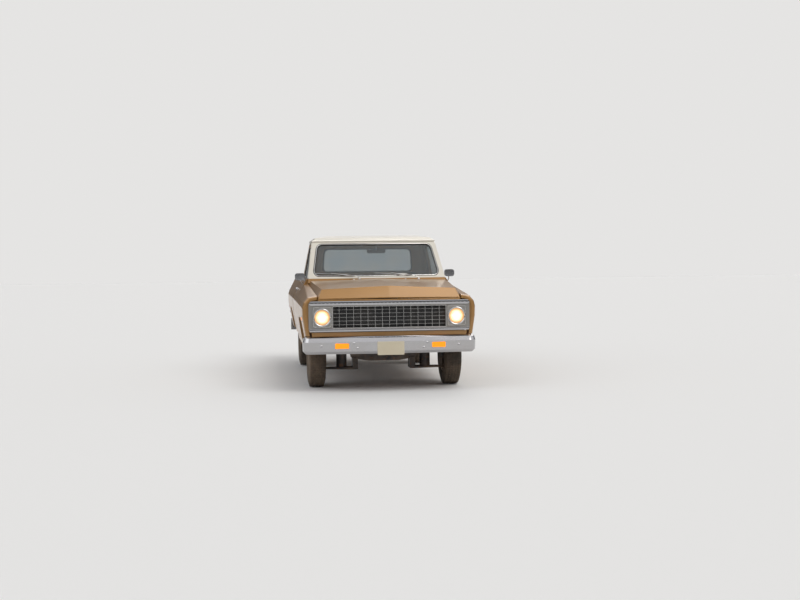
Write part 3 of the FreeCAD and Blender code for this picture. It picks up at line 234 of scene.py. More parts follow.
def headlampFinish(name):
    sizes = {"x": 0.765, "z": 0.852, "radius": 0.089}
    finish = Finish(name, Roughness=0.10, Coat_Weight=0.8, Coat_Roughness=0.03, Emission_Strength=2.4)
    across = finish.node("ShaderNodeSeparateXYZ", {}, {"Vector": finish.place}, out="X")
    side = across.sum("ABSOLUTE", across, 0.0) - sizes["x"]
    rise = finish.height() - sizes["z"]
    spread = (side * side + rise * rise) ** 0.5 * (1 / sizes["radius"])
    lines = across.sum("PINGPONG", across * 150.0, 1.0)
    rows = across.sum("PINGPONG", finish.height() * 42.0, 1.0)
    glow = finish.ramp(spread, (0.0, (1.0, 0.95, 0.80)), (0.5, (0.85, 0.68, 0.42)), (0.82, (0.50, 0.22, 0.05)),
                       (1.0, (0.22, 0.08, 0.012)))
    facet = finish.span(lines * 0.6 + rows * 0.4, 0.0, 1.0, 0.0, 0.55)
    finish.link("Emission Color", finish.blend(facet, glow, (0.16, 0.10, 0.045)))
    finish.link("Base Color", finish.blend(facet, (0.42, 0.37, 0.29), (0.26, 0.22, 0.17)))
    return finish.bump(lines * 0.5 + rows * 0.5, 0.5, 0.002).material


def vinylFinish(name, colour, light):
    finish = Finish(name, Specular_IOR_Level=0.4, Coat_Weight=0.08, Coat_Roughness=0.35)
    cell = finish.node("ShaderNodeTexVoronoi", {"feature": "DISTANCE_TO_EDGE"}, {
        "Vector": finish.place, "Scale": 420.0})
    worn = finish.span(finish.noise(5.0, 5.0, 0.6), 0.45, 0.75)
    finish.link("Base Color", finish.blend(worn, colour, light))
    finish.link("Roughness", finish.span(worn, 0.0, 1.0, 0.42, 0.58))
    grain = finish.ramp(cell, (0.0, 0.0), (0.16, 1.0))
    return finish.bump(grain * 0.8 + finish.noise(90.0) * 0.4, 0.3, 0.0006).material


def plasticFinish(name, colour, roughness=0.5, fine=700.0, depth=0.2):
    finish = Finish(name)
    dust = finish.span(finish.noise(3.0, 4.0), 0.45, 0.8) * 0.18
    finish.link("Base Color", finish.blend(dust, colour, (0.42, 0.36, 0.30)))
    finish.link("Roughness", finish.span(finish.noise(40.0), 0.3, 0.7, roughness - 0.07, roughness + 0.1))
    return finish.bump(finish.noise(fine, 2.0), depth, 0.0004).material


def woodFinish(name):
    finish = Finish(name, Specular_IOR_Level=0.3)
    rings = finish.noise(14.0, 6.0, 0.65, (7.0, 0.55, 7.0))
    fibre = finish.noise(160.0, 3.0, 0.6, (6.0, 0.25, 6.0))
    tone = finish.ramp(rings, (0.25, (0.13, 0.075, 0.04)), (0.5, (0.24, 0.145, 0.08)), (0.8, (0.33, 0.22, 0.13)))
    dust = finish.span(finish.noise(3.1, 5.0), 0.4, 0.72) * 0.55
    finish.link("Base Color", finish.blend(dust, tone, dustColour))
    finish.link("Roughness", finish.span(fibre, 0.2, 0.8, 0.6, 0.82))
    return finish.bump(fibre * 0.7 + rings * 0.3, 0.5, 0.001).material


def matFinish(name):
    finish = Finish(name, Specular_IOR_Level=0.25)
    where = finish.node("ShaderNodeSeparateXYZ", {}, {"Vector": finish.place}, out="X")
    ribs = where.sum("PINGPONG", where * 130.0, 1.0)
    dust = finish.span(finish.noise(5.0, 5.0), 0.42, 0.75) * 0.5
    finish.link("Base Color", finish.blend(dust, (0.045, 0.04, 0.037), dustColour))
    finish.link("Roughness", finish.span(dust, 0.0, 0.5, 0.65, 0.9))
    return finish.bump(ribs, 0.5, 0.002).material


recipes = {
    "bodyPaint": (paintFinish, (0.335, 0.168, 0.040), 0.34, 0.28, 0.25),
    "cabPaint": (cabFinish, (0.335, 0.168, 0.040), (0.78, 0.745, 0.66), 0.34),
    "roofPaint": (paintFinish, (0.78, 0.745, 0.66), 0.35),
    "wheelPaint": (paintFinish, (0.62, 0.58, 0.50), 0.75, 0.4),
    "platePaint": (paintFinish, (0.62, 0.56, 0.42), 0.5, 0.4),
    "chrome": (brightFinish, (0.50, 0.50, 0.515), 0.06, 0.16),
    "brightTrim": (brightFinish, (0.78, 0.78, 0.77), 0.22, 0.35, (1.0, 40.0, 40.0)),
    # argent is a silver paint; its low value also serves as painted shade where it covers the grille surround
    "argent": (brightFinish, (0.36, 0.35, 0.335), 0.34, 0.3),
    "steelStrip": (brightFinish, (0.45, 0.44, 0.42), 0.35, 0.6, (40.0, 1.0, 40.0)),
    "grilleDark": (plasticFinish, (0.030, 0.030, 0.031), 0.45),
    "chassisBlack": (chassisFinish,),
    "castMetal": (castFinish, (0.33, 0.32, 0.30)),
    "engineIron": (castFinish, (0.30, 0.085, 0.035), 0.5),
    "exhaustSteel": (exhaustFinish,),
    "tyreRubber": (rubberFinish, (0.026, 0.025, 0.024), 0.42),
    "sealRubber": (rubberFinish, (0.02, 0.02, 0.021), 0.35),
    "clearGlass": (glassFinish, (0.72, 0.79, 0.79), 0.30),
    "cabGlass": (glassFinish, (0.50, 0.55, 0.575), 0.30, 0.92),
    "mirrorGlass": (brightFinish, (0.86, 0.87, 0.88), 0.03, 0.12),
    "lampGlass": (headlampFinish,),
    "amberLens": (lampFinish, (0.40, 0.10, 0.004), (1.0, 0.29, 0.006), 1.25, 160.0),
    "redLens": (lampFinish, (0.42, 0.012, 0.012), (0.5, 0.01, 0.01), 0.10, 150.0),
    "whiteLens": (lampFinish, (0.75, 0.75, 0.72), (0.7, 0.7, 0.7), 0.05, 150.0),
    "seatVinyl": (vinylFinish, (0.145, 0.078, 0.036), (0.20, 0.118, 0.06)),
    "trimVinyl": (vinylFinish, (0.075, 0.05, 0.032), (0.11, 0.078, 0.052)),
    "headliner": (vinylFinish, (0.50, 0.46, 0.39), (0.56, 0.52, 0.45)),
    "darkPlastic": (plasticFinish, (0.022, 0.020, 0.018)),
    "dialFace": (plasticFinish, (0.012, 0.012, 0.012), 0.35, 200.0, 0.05),
    "dialMark": (plasticFinish, (0.72, 0.70, 0.62), 0.45, 200.0, 0.05),
    "bedWood": (woodFinish,),
    "floorMat": (matFinish,),
}
finishes = {name: recipe(name, *values) for name, (recipe, *values) in recipes.items()}
nodeFinish = {
    "body_paint": "bodyPaint", "roof_paint": "roofPaint", "chassis_black": "chassisBlack", "cast_metal": "castMetal",
    "engine_iron": "engineIron", "exhaust_steel": "exhaustSteel", "bright_trim": "brightTrim",
    "grille_dark": "grilleDark", "chrome": "chrome", "plate_paint": "platePaint", "lamp_glass": "lampGlass",
    "amber_lens": "amberLens", "red_lens": "redLens", "glass": "clearGlass", "interior_plastic": "darkPlastic",
    "seat_vinyl": "seatVinyl", "tyre": "tyreRubber", "wheel_paint": "wheelPaint",
}
# the grille surround's argent plate is darker than its bright bars: real argent paint, and also painted shade for the
# recessed plate
ownFinish = {"grille_surround": "argent", "cab_shell": "cabPaint", "cab_glass": "cabGlass"}
for part in frame["record"]["subparts"]:
    shown = frame["nodes"][part["node"]]
    shown.data.materials.clear()
    shown.data.materials.append(finishes[ownFinish.get(part["node"], nodeFinish[part["material_slot"]])])


print("camera, floor and light")
photoView = {"place": (-1.535, -15.97, 1.546), "yaw": -6.922, "pitch": -2.118, "roll": 0.6, "lens": 54.58}


def makeCamera(view):
    camera = bpy.data.objects.new("camera", bpy.data.cameras.new("camera"))
    bpy.context.scene.collection.objects.link(camera)
    camera.data.lens = view["lens"]
    camera.data.clip_end = 200.0
    camera.data.dof.use_dof = False
    yaw, pitch, roll = [math.radians(view[name]) for name in ("yaw", "pitch", "roll")]
    turn = Matrix.Rotation(yaw, 4, "Z") @ Matrix.Rotation(math.pi / 2 + pitch, 4, "X") @ Matrix.Rotation(-roll, 4, "Z")
    camera.matrix_world = Matrix.Translation(view["place"]) @ turn
    bpy.context.scene.camera = camera


def makeStage():
    sizes = {"half": 60.0, "paper": (0.83, 0.835, 0.84), "sky": (0.86, 0.86, 0.87, 1), "strength": 0.52,
             "backdrop": (0.784, 0.777, 0.768, 1), "mirror": ((0.0, 0.10), (0.16, 0.16), (0.34, 0.85), (0.8, 1.0))}
    half = sizes["half"]
    mesh = bpy.data.meshes.new("floor")
    mesh.from_pydata([(-half, -half, 0), (half, -half, 0), (half, half, 0), (-half, half, 0)], [], [(0, 1, 2, 3)])
    floor = bpy.data.objects.new("floor", mesh)
    bpy.context.scene.collection.objects.link(floor)
    mesh.materials.append(Finish("floorPaper", sizes["paper"], Roughness=0.85, Specular_IOR_Level=0.1).material)
    world = bpy.data.worlds.new("world")
    bpy.context.scene.world = world
    world.use_nodes = True
    nodes, links = world.node_tree.nodes, world.node_tree.links
    seen = nodes.new("ShaderNodeLightPath")
    sky = nodes["Background"]
    sky.inputs["Color"].default_value = sizes["sky"]
    sky.inputs["Strength"].default_value = sizes["strength"]
    paper = nodes.new("ShaderNodeBackground")
    paper.inputs["Color"].default_value = sizes["backdrop"]
    mirror = nodes.new("ShaderNodeBackground")  # what polished faces see: a dim horizon under a bright ceiling
    where, parts = nodes.new("ShaderNodeTexCoord"), nodes.new("ShaderNodeSeparateXYZ")
    ramp = nodes.new("ShaderNodeValToRGB")
    links.new(where.outputs["Generated"], parts.inputs[0])
    links.new(parts.outputs["Z"], ramp.inputs[0])
    stops = ramp.color_ramp.elements
    for spot, grey in sizes["mirror"]:
        stop = stops.new(spot) if spot else stops[0]
        stop.color = (grey, grey, grey * 1.02, 1)
    links.new(ramp.outputs[0], mirror.inputs["Color"])
    direct = nodes.new("ShaderNodeMath")
    direct.operation = "MAXIMUM"
    links.new(seen.outputs["Is Camera Ray"], direct.inputs[0])
    links.new(seen.outputs["Is Transmission Ray"], direct.inputs[1])
    gloss, mix = nodes.new("ShaderNodeMixShader"), nodes.new("ShaderNodeMixShader")
    for joint, share, first, second in ((gloss, seen.outputs["Is Glossy Ray"], sky, mirror),
                                        (mix, direct.outputs[0], gloss, paper)):
        links.new(share, joint.inputs[0])
        links.new(first.outputs[0], joint.inputs[1])
        links.new(second.outputs[0], joint.inputs[2])
    links.new(mix.outputs[0], nodes["World Output"].inputs["Surface"])


def makeSun(name, compass, rise, power, soft, colour):  # compass and rise say where the light comes from
    sun = bpy.data.objects.new(name, bpy.data.lights.new(name, "SUN"))
    sun.data.energy, sun.data.angle, sun.data.color = power, math.radians(soft), colour
    turn, up = math.radians(compass), math.radians(rise)
    source = Vector((math.cos(turn) * math.cos(up), math.sin(turn) * math.cos(up), math.sin(up)))
    sun.rotation_euler = (-source).to_track_quat("-Z", "Y").to_euler()
    bpy.context.scene.collection.objects.link(sun)


bpy.context.scene.view_settings.view_transform = "Standard"
makeCamera(photoView)
makeStage()
makeSun("keySun", -50, 48, 1.15, 42, (1.0, 0.97, 0.92))
makeSun("fillSun", -150, 35, 0.46, 50, (0.94, 0.97, 1.0))
makeSun("backSun", 75, 40, 0.62, 42, (1.0, 0.94, 0.86))


print("tools for pieces")
forward, backward, upward, leftward = (0, -1, 0), (0, 1, 0), (0, 0, 1), (1, 0, 0)
corners = ((-1, -1), (1, -1), (1, 1), (-1, 1))


def onPlane(plane, a, b, c):
    return {"XZ": at(a, c, b), "YZ": at(c, a, b), "XY": at(a, b, c)}[plane]


def roundOff(spots, steps=4, closed=True):  # each spot is (place, radius), and a radius turns it into an arc
    straight = 1.55  # half the angle in radians above which a spot stays as it is
    points = []
    for i, (corner, radius) in enumerate(spots):
        half = math.pi
        if radius and (closed or i not in (0, len(spots) - 1)):
            before = (spots[i - 1][0] - corner).normalized()
            after = (spots[(i + 1) % len(spots)][0] - corner).normalized()
            half = before.angle(after) / 2
        if half > straight:
            points.append(corner.copy())
            continue
        reach = radius / math.tan(half)
        middle = corner + (before + after).normalized() * (radius / math.sin(half))
        first, last = corner + before * reach - middle, corner + after * reach - middle
        turn = first.angle(last)
        for k in range(steps + 1):
            near, far = math.sin((1 - k / steps) * turn), math.sin(k / steps * turn)
            points.append(middle + (first * near + last * far) / math.sin(turn))
    return points


def flat(*spots):  # spots as (a, b) or (a, b, radius), for an outline
    return roundOff([(Vector((*spot[:2], 0.0)), spot[2] if len(spot) > 2 else 0) for spot in spots])


def oblong(x, z, wide, tall, soft=0, steps=4):  # a rectangle's outline from its middle and its half sizes
    return roundOff([(Vector((x + a * wide, z + b * tall, 0.0)), soft) for a, b in corners], steps)


def rimPath(x, z, wide, tall, soft, station, steps=5):
    return [at(p.x, station, p.y) for p in oblong(x, z, wide, tall, soft, steps)]


def even(*half):  # a section that is the same on both sides, from its right half, foot first
    return [(-half[0][0], half[0][1]), *half] + [(-a, b) for a, b in half[:0:-1]]


def bead(width, rise, lift=0.0):  # a low rounded section for trim, lying on its path
    half = width / 2
    return even((half, lift - 0.001), (half, lift + rise * 0.5), (half * 0.6, lift + rise))


def denser(outline, gap):
    points = []
    for a, b in zip(outline, outline[1:] + outline[:1]):
        steps = max(1, round((b - a).length / gap))
        points += [a.lerp(b, k / steps) for k in range(steps)]
    return points


class Piece:
    def __init__(self, name, body, slot, look):
        self.name, self.body, self.slot = name, body, slot
        self.mesh = bmesh.new()
        self.looks = []
        self.use(look)

    def use(self, look):
        if look not in self.looks:
            self.looks.append(look)
        self.index = self.looks.index(look)
        return self

    def take(self, points, faces, smooth=True):
        made = [self.mesh.verts.new(point) for point in points]
        for spots in faces:
            face = self.mesh.faces.new([made[i] for i in spots])
            face.material_index = self.index
            face.smooth = smooth
        return self

    def add(self, mesh, place):  # takes over a plain mesh
        mesh.transform(Matrix.Translation(place))
        self.take([v.co.copy() for v in mesh.vertices], [list(p.vertices) for p in mesh.polygons])
        bpy.data.meshes.remove(mesh)
        return self

    def repeat(self, small, count, move, place, ring=False):
        return self.add(repeated(small, count, move, ring), place)

    def merge(self, shape, turn=None):
        if turn:
            shape.transform(turn)
        shape.verts.index_update()
        self.take([vert.co.copy() for vert in shape.verts], [[v.index for v in face.verts] for face in shape.faces])
        shape.free()
        return self

    def box(self, low, high, soft=0.004, steps=2, turn=None):
        shape = bmesh.new()
        bmesh.ops.create_cube(shape, size=1.0)
        low, high = Vector(low), Vector(high)
        for vert in shape.verts:
            vert.co = Vector(((low[i] + high[i]) / 2 + vert.co[i] * (high[i] - low[i]) for i in range(3)))
        if soft:
            soft = min(soft, min(abs(high[i] - low[i]) for i in range(3)) * 0.45)
            bmesh.ops.bevel(shape, geom=shape.edges[:], offset=soft, segments=steps, profile=0.5, affect="EDGES")
        return self.merge(shape, turn)

    def slab(self, outline, plane, start, end, soft=0.002):
        shape = bmesh.new()
        rim = [shape.verts.new(onPlane(plane, p.x, p.y, start)) for p in outline]
        top = [shape.verts.new(onPlane(plane, p.x, p.y, end)) for p in outline]
        count = len(rim)
        shape.faces.new(rim[::-1])
        shape.faces.new(top)
        for i in range(count):
            shape.faces.new([rim[i], rim[(i + 1) % count], top[(i + 1) % count], top[i]])
        if soft:
            ends = [edge for edge in shape.edges if (edge.verts[0] in rim) == (edge.verts[1] in rim)]
            bmesh.ops.bevel(shape, geom=ends, offset=soft, segments=2, profile=0.5, affect="EDGES", clamp_overlap=True)
        return self.merge(shape)

    def lathe(self, centre, axis, profile, steps=40, loop=False):  # profile as (radius, distance along the axis)
        centre, axis = Vector(centre), Vector(axis).normalized()
        side = axis.orthogonal().normalized()
        other = axis.cross(side)
        points, rings = [], []
        for radius, along in profile:
            if radius < 1e-6:  # this closes an end
                rings.append([len(points)])
                points.append(centre + axis * along)
                continue
            rings.append(list(range(len(points), len(points) + steps)))
            for k in range(steps):
                turn = 2 * math.pi * k / steps
                points.append(centre + axis * along + (side * math.cos(turn) + other * math.sin(turn)) * radius)
        faces = []
        for near, far in zip(rings, rings[1:] + (rings[:1] if loop else [])):
            for k in range(steps):
                m = (k + 1) % steps
                spots = [near[k % len(near)], near[m % len(near)], far[m % len(far)], far[k % len(far)]]
                spots = [c for i, c in enumerate(spots) if c not in spots[:i]]
                if len(spots) > 2:
                    faces.append(spots)
        return self.take(points, faces)

    def sweep(self, points, size, closed):  # sections of one size, joined one to the next
        count, faces = len(points) // size, []
        for i in range(count if closed else count - 1):
            for k in range(size):
                m, n = (k + 1) % size, (i + 1) % count
                faces.append([i * size + k, i * size + m, n * size + m, n * size + k])
        if not closed:
            faces += [list(range(size))[::-1], [(count - 1) * size + k for k in range(size)]]
        return self.take(points, faces)

    def ribbon(self, path, section, up=upward, closed=False):  # section as (sideways, upwards)
        count, points, up = len(path), [], Vector(up)
        for i, point in enumerate(path):
            ahead = path[(i + 1) % count] if closed or i < count - 1 else path[i]
            behind = path[i - 1] if closed or i else path[i]
            first, last = (point - behind), (ahead - point)
            along = (first.normalized() + last.normalized()).normalized()
            side = along.cross(up).normalized()
            rise = side.cross(along)
            stretch = 1.0
            if first.length > 1e-9 and last.length > 1e-9:
                stretch = 1 / max(math.cos(first.angle(last) / 2), 0.5)
            points += [point + side * a * stretch + rise * b for a, b in section]
        return self.sweep(points, len(section), closed)

    def tube(self, path, radius, steps=10, closed=False):  # a round bar, whose section never twists
        count, points, normal = len(path), [], None
        for i, point in enumerate(path):
            ahead = path[(i + 1) % count] if closed or i < count - 1 else path[i]
            behind = path[i - 1] if closed or i else path[i]
            along = (ahead - behind).normalized()
            normal = (along.orthogonal() if normal is None else normal - along * normal.dot(along)).normalized()
            other = along.cross(normal)
            for k in range(steps):
                turn = 2 * math.pi * k / steps
                points.append(point + (normal * math.cos(turn) + other * math.sin(turn)) * radius)
        return self.sweep(points, steps, closed)

    def skin(self, rows, thick):  # a grid of points with an even thickness given by one vector
        wide, tall = len(rows[0]), len(rows)
        points = [p for row in rows for p in row]
        points += [p + Vector(thick) for p in points]
        back, faces = wide * tall, []
        for j in range(tall - 1):
            for i in range(wide - 1):
                a, b, c, d = j * wide + i, j * wide + i + 1, (j + 1) * wide + i + 1, (j + 1) * wide + i
                faces += [[a, b, c, d], [d + back, c + back, b + back, a + back]]
        rim = [(0, i) for i in range(wide)] + [(j, wide - 1) for j in range(1, tall)]
        rim += [(tall - 1, i) for i in range(wide - 2, -1, -1)] + [(j, 0) for j in range(tall - 2, 0, -1)]
        rim = [j * wide + i for j, i in rim]
        for a, b in zip(rim, rim[1:] + rim[:1]):
            faces.append([b, a, a + back, b + back])
        return self.take(points, faces)

    def finish(self, sharp=35.0):
        bmesh.ops.recalc_face_normals(self.mesh, faces=self.mesh.faces[:])
        mesh = bpy.data.meshes.new(self.name)
        self.mesh.to_mesh(mesh)
        self.mesh.free()
        return settle(mesh, self.name, self.body, self.slot, self.looks, sharp)


def part(look):  # a small piece at the origin, for repeating
    return Piece(None, None, None, look)


def settle(mesh, name, body, slot, looks, sharp):
    for look in looks:
        mesh.materials.append(finishes[look])
    if sharp:
        mesh.set_sharp_from_angle(angle=math.radians(sharp))
    shown = bpy.data.objects.new(name, mesh)
    bpy.context.scene.collection.objects.link(shown)
    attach(shown, body)
    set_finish(shown, slot)
    return shown


def twin(shown, name, body):  # the same piece on the truck's other side
    mesh = shown.data.copy()
    mesh.transform(Matrix.Diagonal((-1, 1, 1, 1)))
    mesh.flip_normals()
    other = bpy.data.objects.new(name, mesh)
    bpy.context.scene.collection.objects.link(other)
    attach(other, body)
    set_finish(other, shown["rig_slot"])
    return other


def treeOf(mesh):
    return BVHTree.FromPolygons([v.co for v in mesh.vertices], [list(p.vertices) for p in mesh.polygons])


surfaces = {}


def surfaceHit(node, start, way):  # where a line meets a CAD node, so that trim sits on the metal that carries it
    if node not in surfaces:
        surfaces[node] = treeOf(frame["nodes"][node].data)
    return surfaces[node].ray_cast(Vector(start), Vector(way))[0]


def beside(node, side, station, z):  # a place on a node's outer face, met from beside the truck
    return surfaceHit(node, at(side * 1.3, station, z), (-side, 0, 0))


def repeatTree(name, ring):  # repeats the object's own mesh round an axis through its origin, or in a row by a step
    tree = bpy.data.node_groups.new(name, "GeometryNodeTree")
    for socket, way, kind in (("Geometry", "INPUT", "Geometry"), ("Count", "INPUT", "Int"),
                              ("Turn" if ring else "Step", "INPUT", "Vector"), ("Finish", "INPUT", "Material"),
                              ("Geometry", "OUTPUT", "Geometry")):
        tree.interface.new_socket(socket, in_out=way, socket_type="NodeSocket" + kind)

    def add(kind, **values):
        node = tree.nodes.new(kind)
        for key, value in values.items():
            setattr(node, key, value)
        return node

    start, end = add("NodeGroupInput"), add("NodeGroupOutput")
    line = add("GeometryNodeMeshLine", mode="OFFSET")
    spread = add("GeometryNodeInstanceOnPoints")
    solid = add("GeometryNodeRealizeInstances")
    coat = add("GeometryNodeSetMaterial")
    link = tree.links.new
    link(start.outputs["Count"], line.inputs["Count"])
    link(line.outputs["Mesh"], spread.inputs["Points"])
    link(start.outputs["Geometry"], spread.inputs["Instance"])
    if ring:
        line.inputs["Offset"].default_value = (0, 0, 0)
        number = add("GeometryNodeInputIndex")
        turn = add("ShaderNodeVectorMath", operation="SCALE")
        link(start.outputs["Turn"], turn.inputs[0])
        link(number.outputs["Index"], turn.inputs["Scale"])
        link(turn.outputs["Vector"], spread.inputs["Rotation"])
    else:
        link(start.outputs["Step"], line.inputs["Offset"])
    link(spread.outputs["Instances"], solid.inputs["Geometry"])
    link(solid.outputs["Geometry"], coat.inputs["Geometry"])
    link(start.outputs["Finish"], coat.inputs["Material"])
    link(coat.outputs["Geometry"], end.inputs["Geometry"])
    return tree


trees = {True: repeatTree("repeatRing", True), False: repeatTree("repeatRow", False)}


def evaluated(shown):
    return bpy.data.meshes.new_from_object(shown.evaluated_get(bpy.context.evaluated_depsgraph_get()))


def repeated(small, count, move, ring=False):  # the plain mesh of a small piece repeated by Geometry Nodes
    bmesh.ops.recalc_face_normals(small.mesh, faces=small.mesh.faces[:])
    mesh = bpy.data.meshes.new("part")
    small.mesh.to_mesh(mesh)
    small.mesh.free()
    holder = bpy.data.objects.new("part", mesh)
    bpy.context.scene.collection.objects.link(holder)
    tree = trees[ring]
    modifier = holder.modifiers.new("repeat", "NODES")
    modifier.node_group = tree
    sockets = {item.name: item.identifier for item in tree.interface.items_tree if item.in_out == "INPUT"}
    modifier[sockets["Count"]] = count
    modifier[sockets["Turn" if ring else "Step"]] = move
    modifier[sockets["Finish"]] = finishes[small.looks[0]]
    bpy.context.view_layer.update()
    result = evaluated(holder)
    holder.modifiers.remove(modifier)
    bpy.data.objects.remove(holder)
    return result


print("wheels and tyres")
wheels = {
    "front_left": ("front_wheel_left", 1, 0.800, -1.595), "front_right": ("front_wheel_right", -1, 0.800, -1.595),
    "rear_left": ("rear_wheel_left", 1, 0.790, 1.326), "rear_right": ("rear_wheel_right", -1, 0.790, 1.326),
}
tyreSizes = {"radius": 0.350, "tread": 0.0085, "half": 0.1025, "rim": 0.1935, "pitches": 66}
treadRows = ((-0.086, -0.056, 0.30, 0.70), (-0.050, -0.022, 0.55, 0.76), (-0.015, 0.015, -0.5, 0.80),
             (0.022, 0.050, 0.55, 0.76), (0.056, 0.086, 0.30, 0.70))  # from, to, lean and length of a row's blocks


def carcassProfile(sizes):
    base = sizes["radius"] - sizes["tread"]
    half, rim = sizes["half"], sizes["rim"]
    outer = [(base, 0.0), (base, 0.040), (base - 0.002, 0.064), (base - 0.008, 0.078), (base - 0.020, 0.089)]
    wall = [(base - 0.024, 0.0925), (base - 0.028, 0.0915), (base - 0.050, 0.0995), (base - 0.070, half),
            (base - 0.074, half - 0.0018), (base - 0.078, half), (base - 0.100, half - 0.004), (rim + 0.030, 0.0945),
            (rim + 0.026, 0.0965), (rim + 0.022, 0.0940), (rim + 0.010, 0.088), (rim, 0.082)]
    inner = [(rim, 0.066), (rim + 0.02, 0.070), (base - 0.06, 0.080), (base - 0.02, 0.055), (base - 0.014, 0.0)]
    right = outer + wall + inner
    return right + [(r, -a) for r, a in reversed(right[1:-1])]


def treadBlock(sizes, low, high, lean, long):  # a leaning bar with a flat top, at the top of the tyre
    base, top, mid = sizes["radius"] - sizes["tread"] - 0.003, sizes["radius"], (low + high) / 2
    points = []
    for height, grow in ((base, 1.0), (top - 0.0012, 0.86), (top, 0.80)):
        for x, y in ((low, -long), (high, -long), (high, long), (low, long)):
            px = mid + (x - mid) * grow
            drop = 0.006 * (max(abs(px) - 0.05, 0.0) / 0.035) ** 2
            points.append(Vector((px, y * grow + (px - mid) * lean, height - drop)))
    faces = [[j + k, j + (k + 1) % 4, j + 4 + (k + 1) % 4, j + 4 + k] for j in (0, 4) for k in range(4)]
    return part("tyreRubber").take(points, faces + [[8, 9, 10, 11], [3, 2, 1, 0]], smooth=False)


def makeTyre(place, body, side, x, y):
    sizes = tyreSizes
    tyre = Piece("tyre_dress_" + place, body, "tyre", "tyreRubber")
    centre = Vector((side * x, y, sizes["radius"]))
    tyre.lathe(centre, leftward, carcassProfile(sizes), 88, loop=True)
    turn = 2 * math.pi / sizes["pitches"]
    for low, high, lean, share in treadRows:
        block = treadBlock(sizes, low, high, lean, turn * sizes["radius"] / 2 * share)
        tyre.repeat(block, sizes["pitches"], (turn, 0, 0), centre, True)
    shown = tyre.finish(40)
    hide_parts("tyre_" + place)


def makeHubCap(place, body, side, x, y):
    sizes = {"wide": 0.132, "deep": 0.040, "stand": 0.0095}
    wide, deep = sizes["wide"], sizes["deep"]
    cap = Piece("hub_cap_" + place, body, "chrome", "chrome")
    cap.lathe((side * (x + sizes["stand"]), y, tyreSizes["radius"]), (side, 0, 0), [
        (0.0, 0.0), (wide - 0.012, 0.0), (wide, 0.004), (wide + 0.001, 0.010), (wide - 0.006, 0.017),
        (wide - 0.020, 0.021), (wide - 0.034, 0.022), (wide - 0.040, 0.026), (0.075, deep - 0.004), (0.056, deep),
        (0.050, deep - 0.003), (0.044, deep - 0.003), (0.040, deep + 0.001), (0.022, deep + 0.005),
        (0.0, deep + 0.006)], 64)
    cap.finish()


for place, (body, side, x, y) in wheels.items():
    makeTyre(place, body, side, x, y)
    makeHubCap(place, body, side, x, y)

print("front end")
root = "truck_body"
boltHead = [(0, -0.001), (0.0135, -0.001), (0.013, 0.002), (0.010, 0.0048), (0.005, 0.0065), (0, 0.007)]


def makeLampRims():
    sizes = {"x": 0.765, "z": 0.852, "radius": 0.0885, "face": 0.0812, "frame": (0.858, 0.100, 0.112, 0.022, 0.0815)}
    rims = Piece("headlamp_rims", root, "chrome", "chrome")
    r = sizes["radius"]
    for side in (1, -1):
        centre = at(side * sizes["x"], sizes["face"], sizes["z"])
        rims.use("chrome").lathe(centre, forward, [
            (r - 0.004, -0.010), (r - 0.002, 0.000), (r + 0.002, 0.0045), (r + 0.008, 0.006), (r + 0.013, 0.004),
            (r + 0.0155, 0.0), (r + 0.0155, -0.006), (r + 0.004, -0.012)], 72, loop=True)
        for turn in (0.9, 2.9, 5.0):
            spot = centre + Vector((math.cos(turn), 0, math.sin(turn))) * (r + 0.0095)
            rims.lathe(spot, forward, [(0, 0.003), (0.0042, 0.003), (0.0042, 0.0062), (0.003, 0.0078), (0, 0.0082)], 12)
        rims.use("brightTrim").ribbon(rimPath(side * sizes["x"], *sizes["frame"]), bead(0.005, 0.003), forward, True)
    rims.finish()


def makeGrilleTrim():
    sizes = {"half": 0.645, "z": 0.852, "face": 0.1125, "bars": 15, "pitch": 0.0815, "rows": 5, "rise": 0.042}
    trim = Piece("grille_trim", root, "bright_trim", "brightTrim")
    trim.ribbon(rimPath(0, sizes["z"], 0.646, 0.122, 0.010, 0.0995), bead(0.009, 0.006), forward, True)
    bar, cross = part("brightTrim"), part("brightTrim")
    bar.box((-0.0016, -0.002, -0.119), (0.0016, 0.0012, 0.119), 0.0006, 1)
    cross.box((-sizes["half"], -0.0006, -0.0012), (sizes["half"], 0.0008, 0.0012), 0.0004, 1)
    trim.repeat(bar, sizes["bars"], (sizes["pitch"], 0, 0), at(-7 * sizes["pitch"], sizes["face"], sizes["z"]))
    trim.repeat(cross, sizes["rows"], (0, 0, sizes["rise"]), at(0, sizes["face"], sizes["z"] - 2 * sizes["rise"]))
    # a near-black sheet behind the grille bars: painted shade for the dark depth seen through the grille
    trim.use("grilleDark").box(at(-0.66, 0.1545, 0.72), at(0.66, 0.1575, 0.99), 0.001)
    trim.finish()


def makeSurroundTrim():
    sizes = {"half": 0.910, "strips": ((1.011, 0.0235, 0.022), (0.706, 0.0145, 0.013)), "grooves": 41, "pitch": 0.044}
    trim = Piece("surround_trim", root, "bright_trim", "brightTrim")
    for z, tall, soft in sizes["strips"]:
        face = surfaceHit("grille_surround", at(0.3, -0.5, z), backward).y + bodyY
        trim.use("chrome").slab(oblong(0, z, sizes["half"], tall, soft), "XZ", face - 0.0012, face + 0.0008, 0.0010)
    # near-black marks across the top strip: painted shade in its grooves
    groove = part("grilleDark").box((-0.0145, -0.001, -0.0022), (0.0145, 0.001, 0.0022), 0.001, 1)
    trim.use("grilleDark").repeat(groove, sizes["grooves"], (sizes["pitch"], 0, 0), at(-0.88, 0.0825, 1.011))
    trim.finish()
    header = Piece("grille_header", root, "body_paint", "bodyPaint")  # fills the slot under the hood's lip
    header.box(at(-0.806, 0.0885, 1.0350), at(0.806, 0.1150, 1.0535), 0.005, 3)
    header.finish()


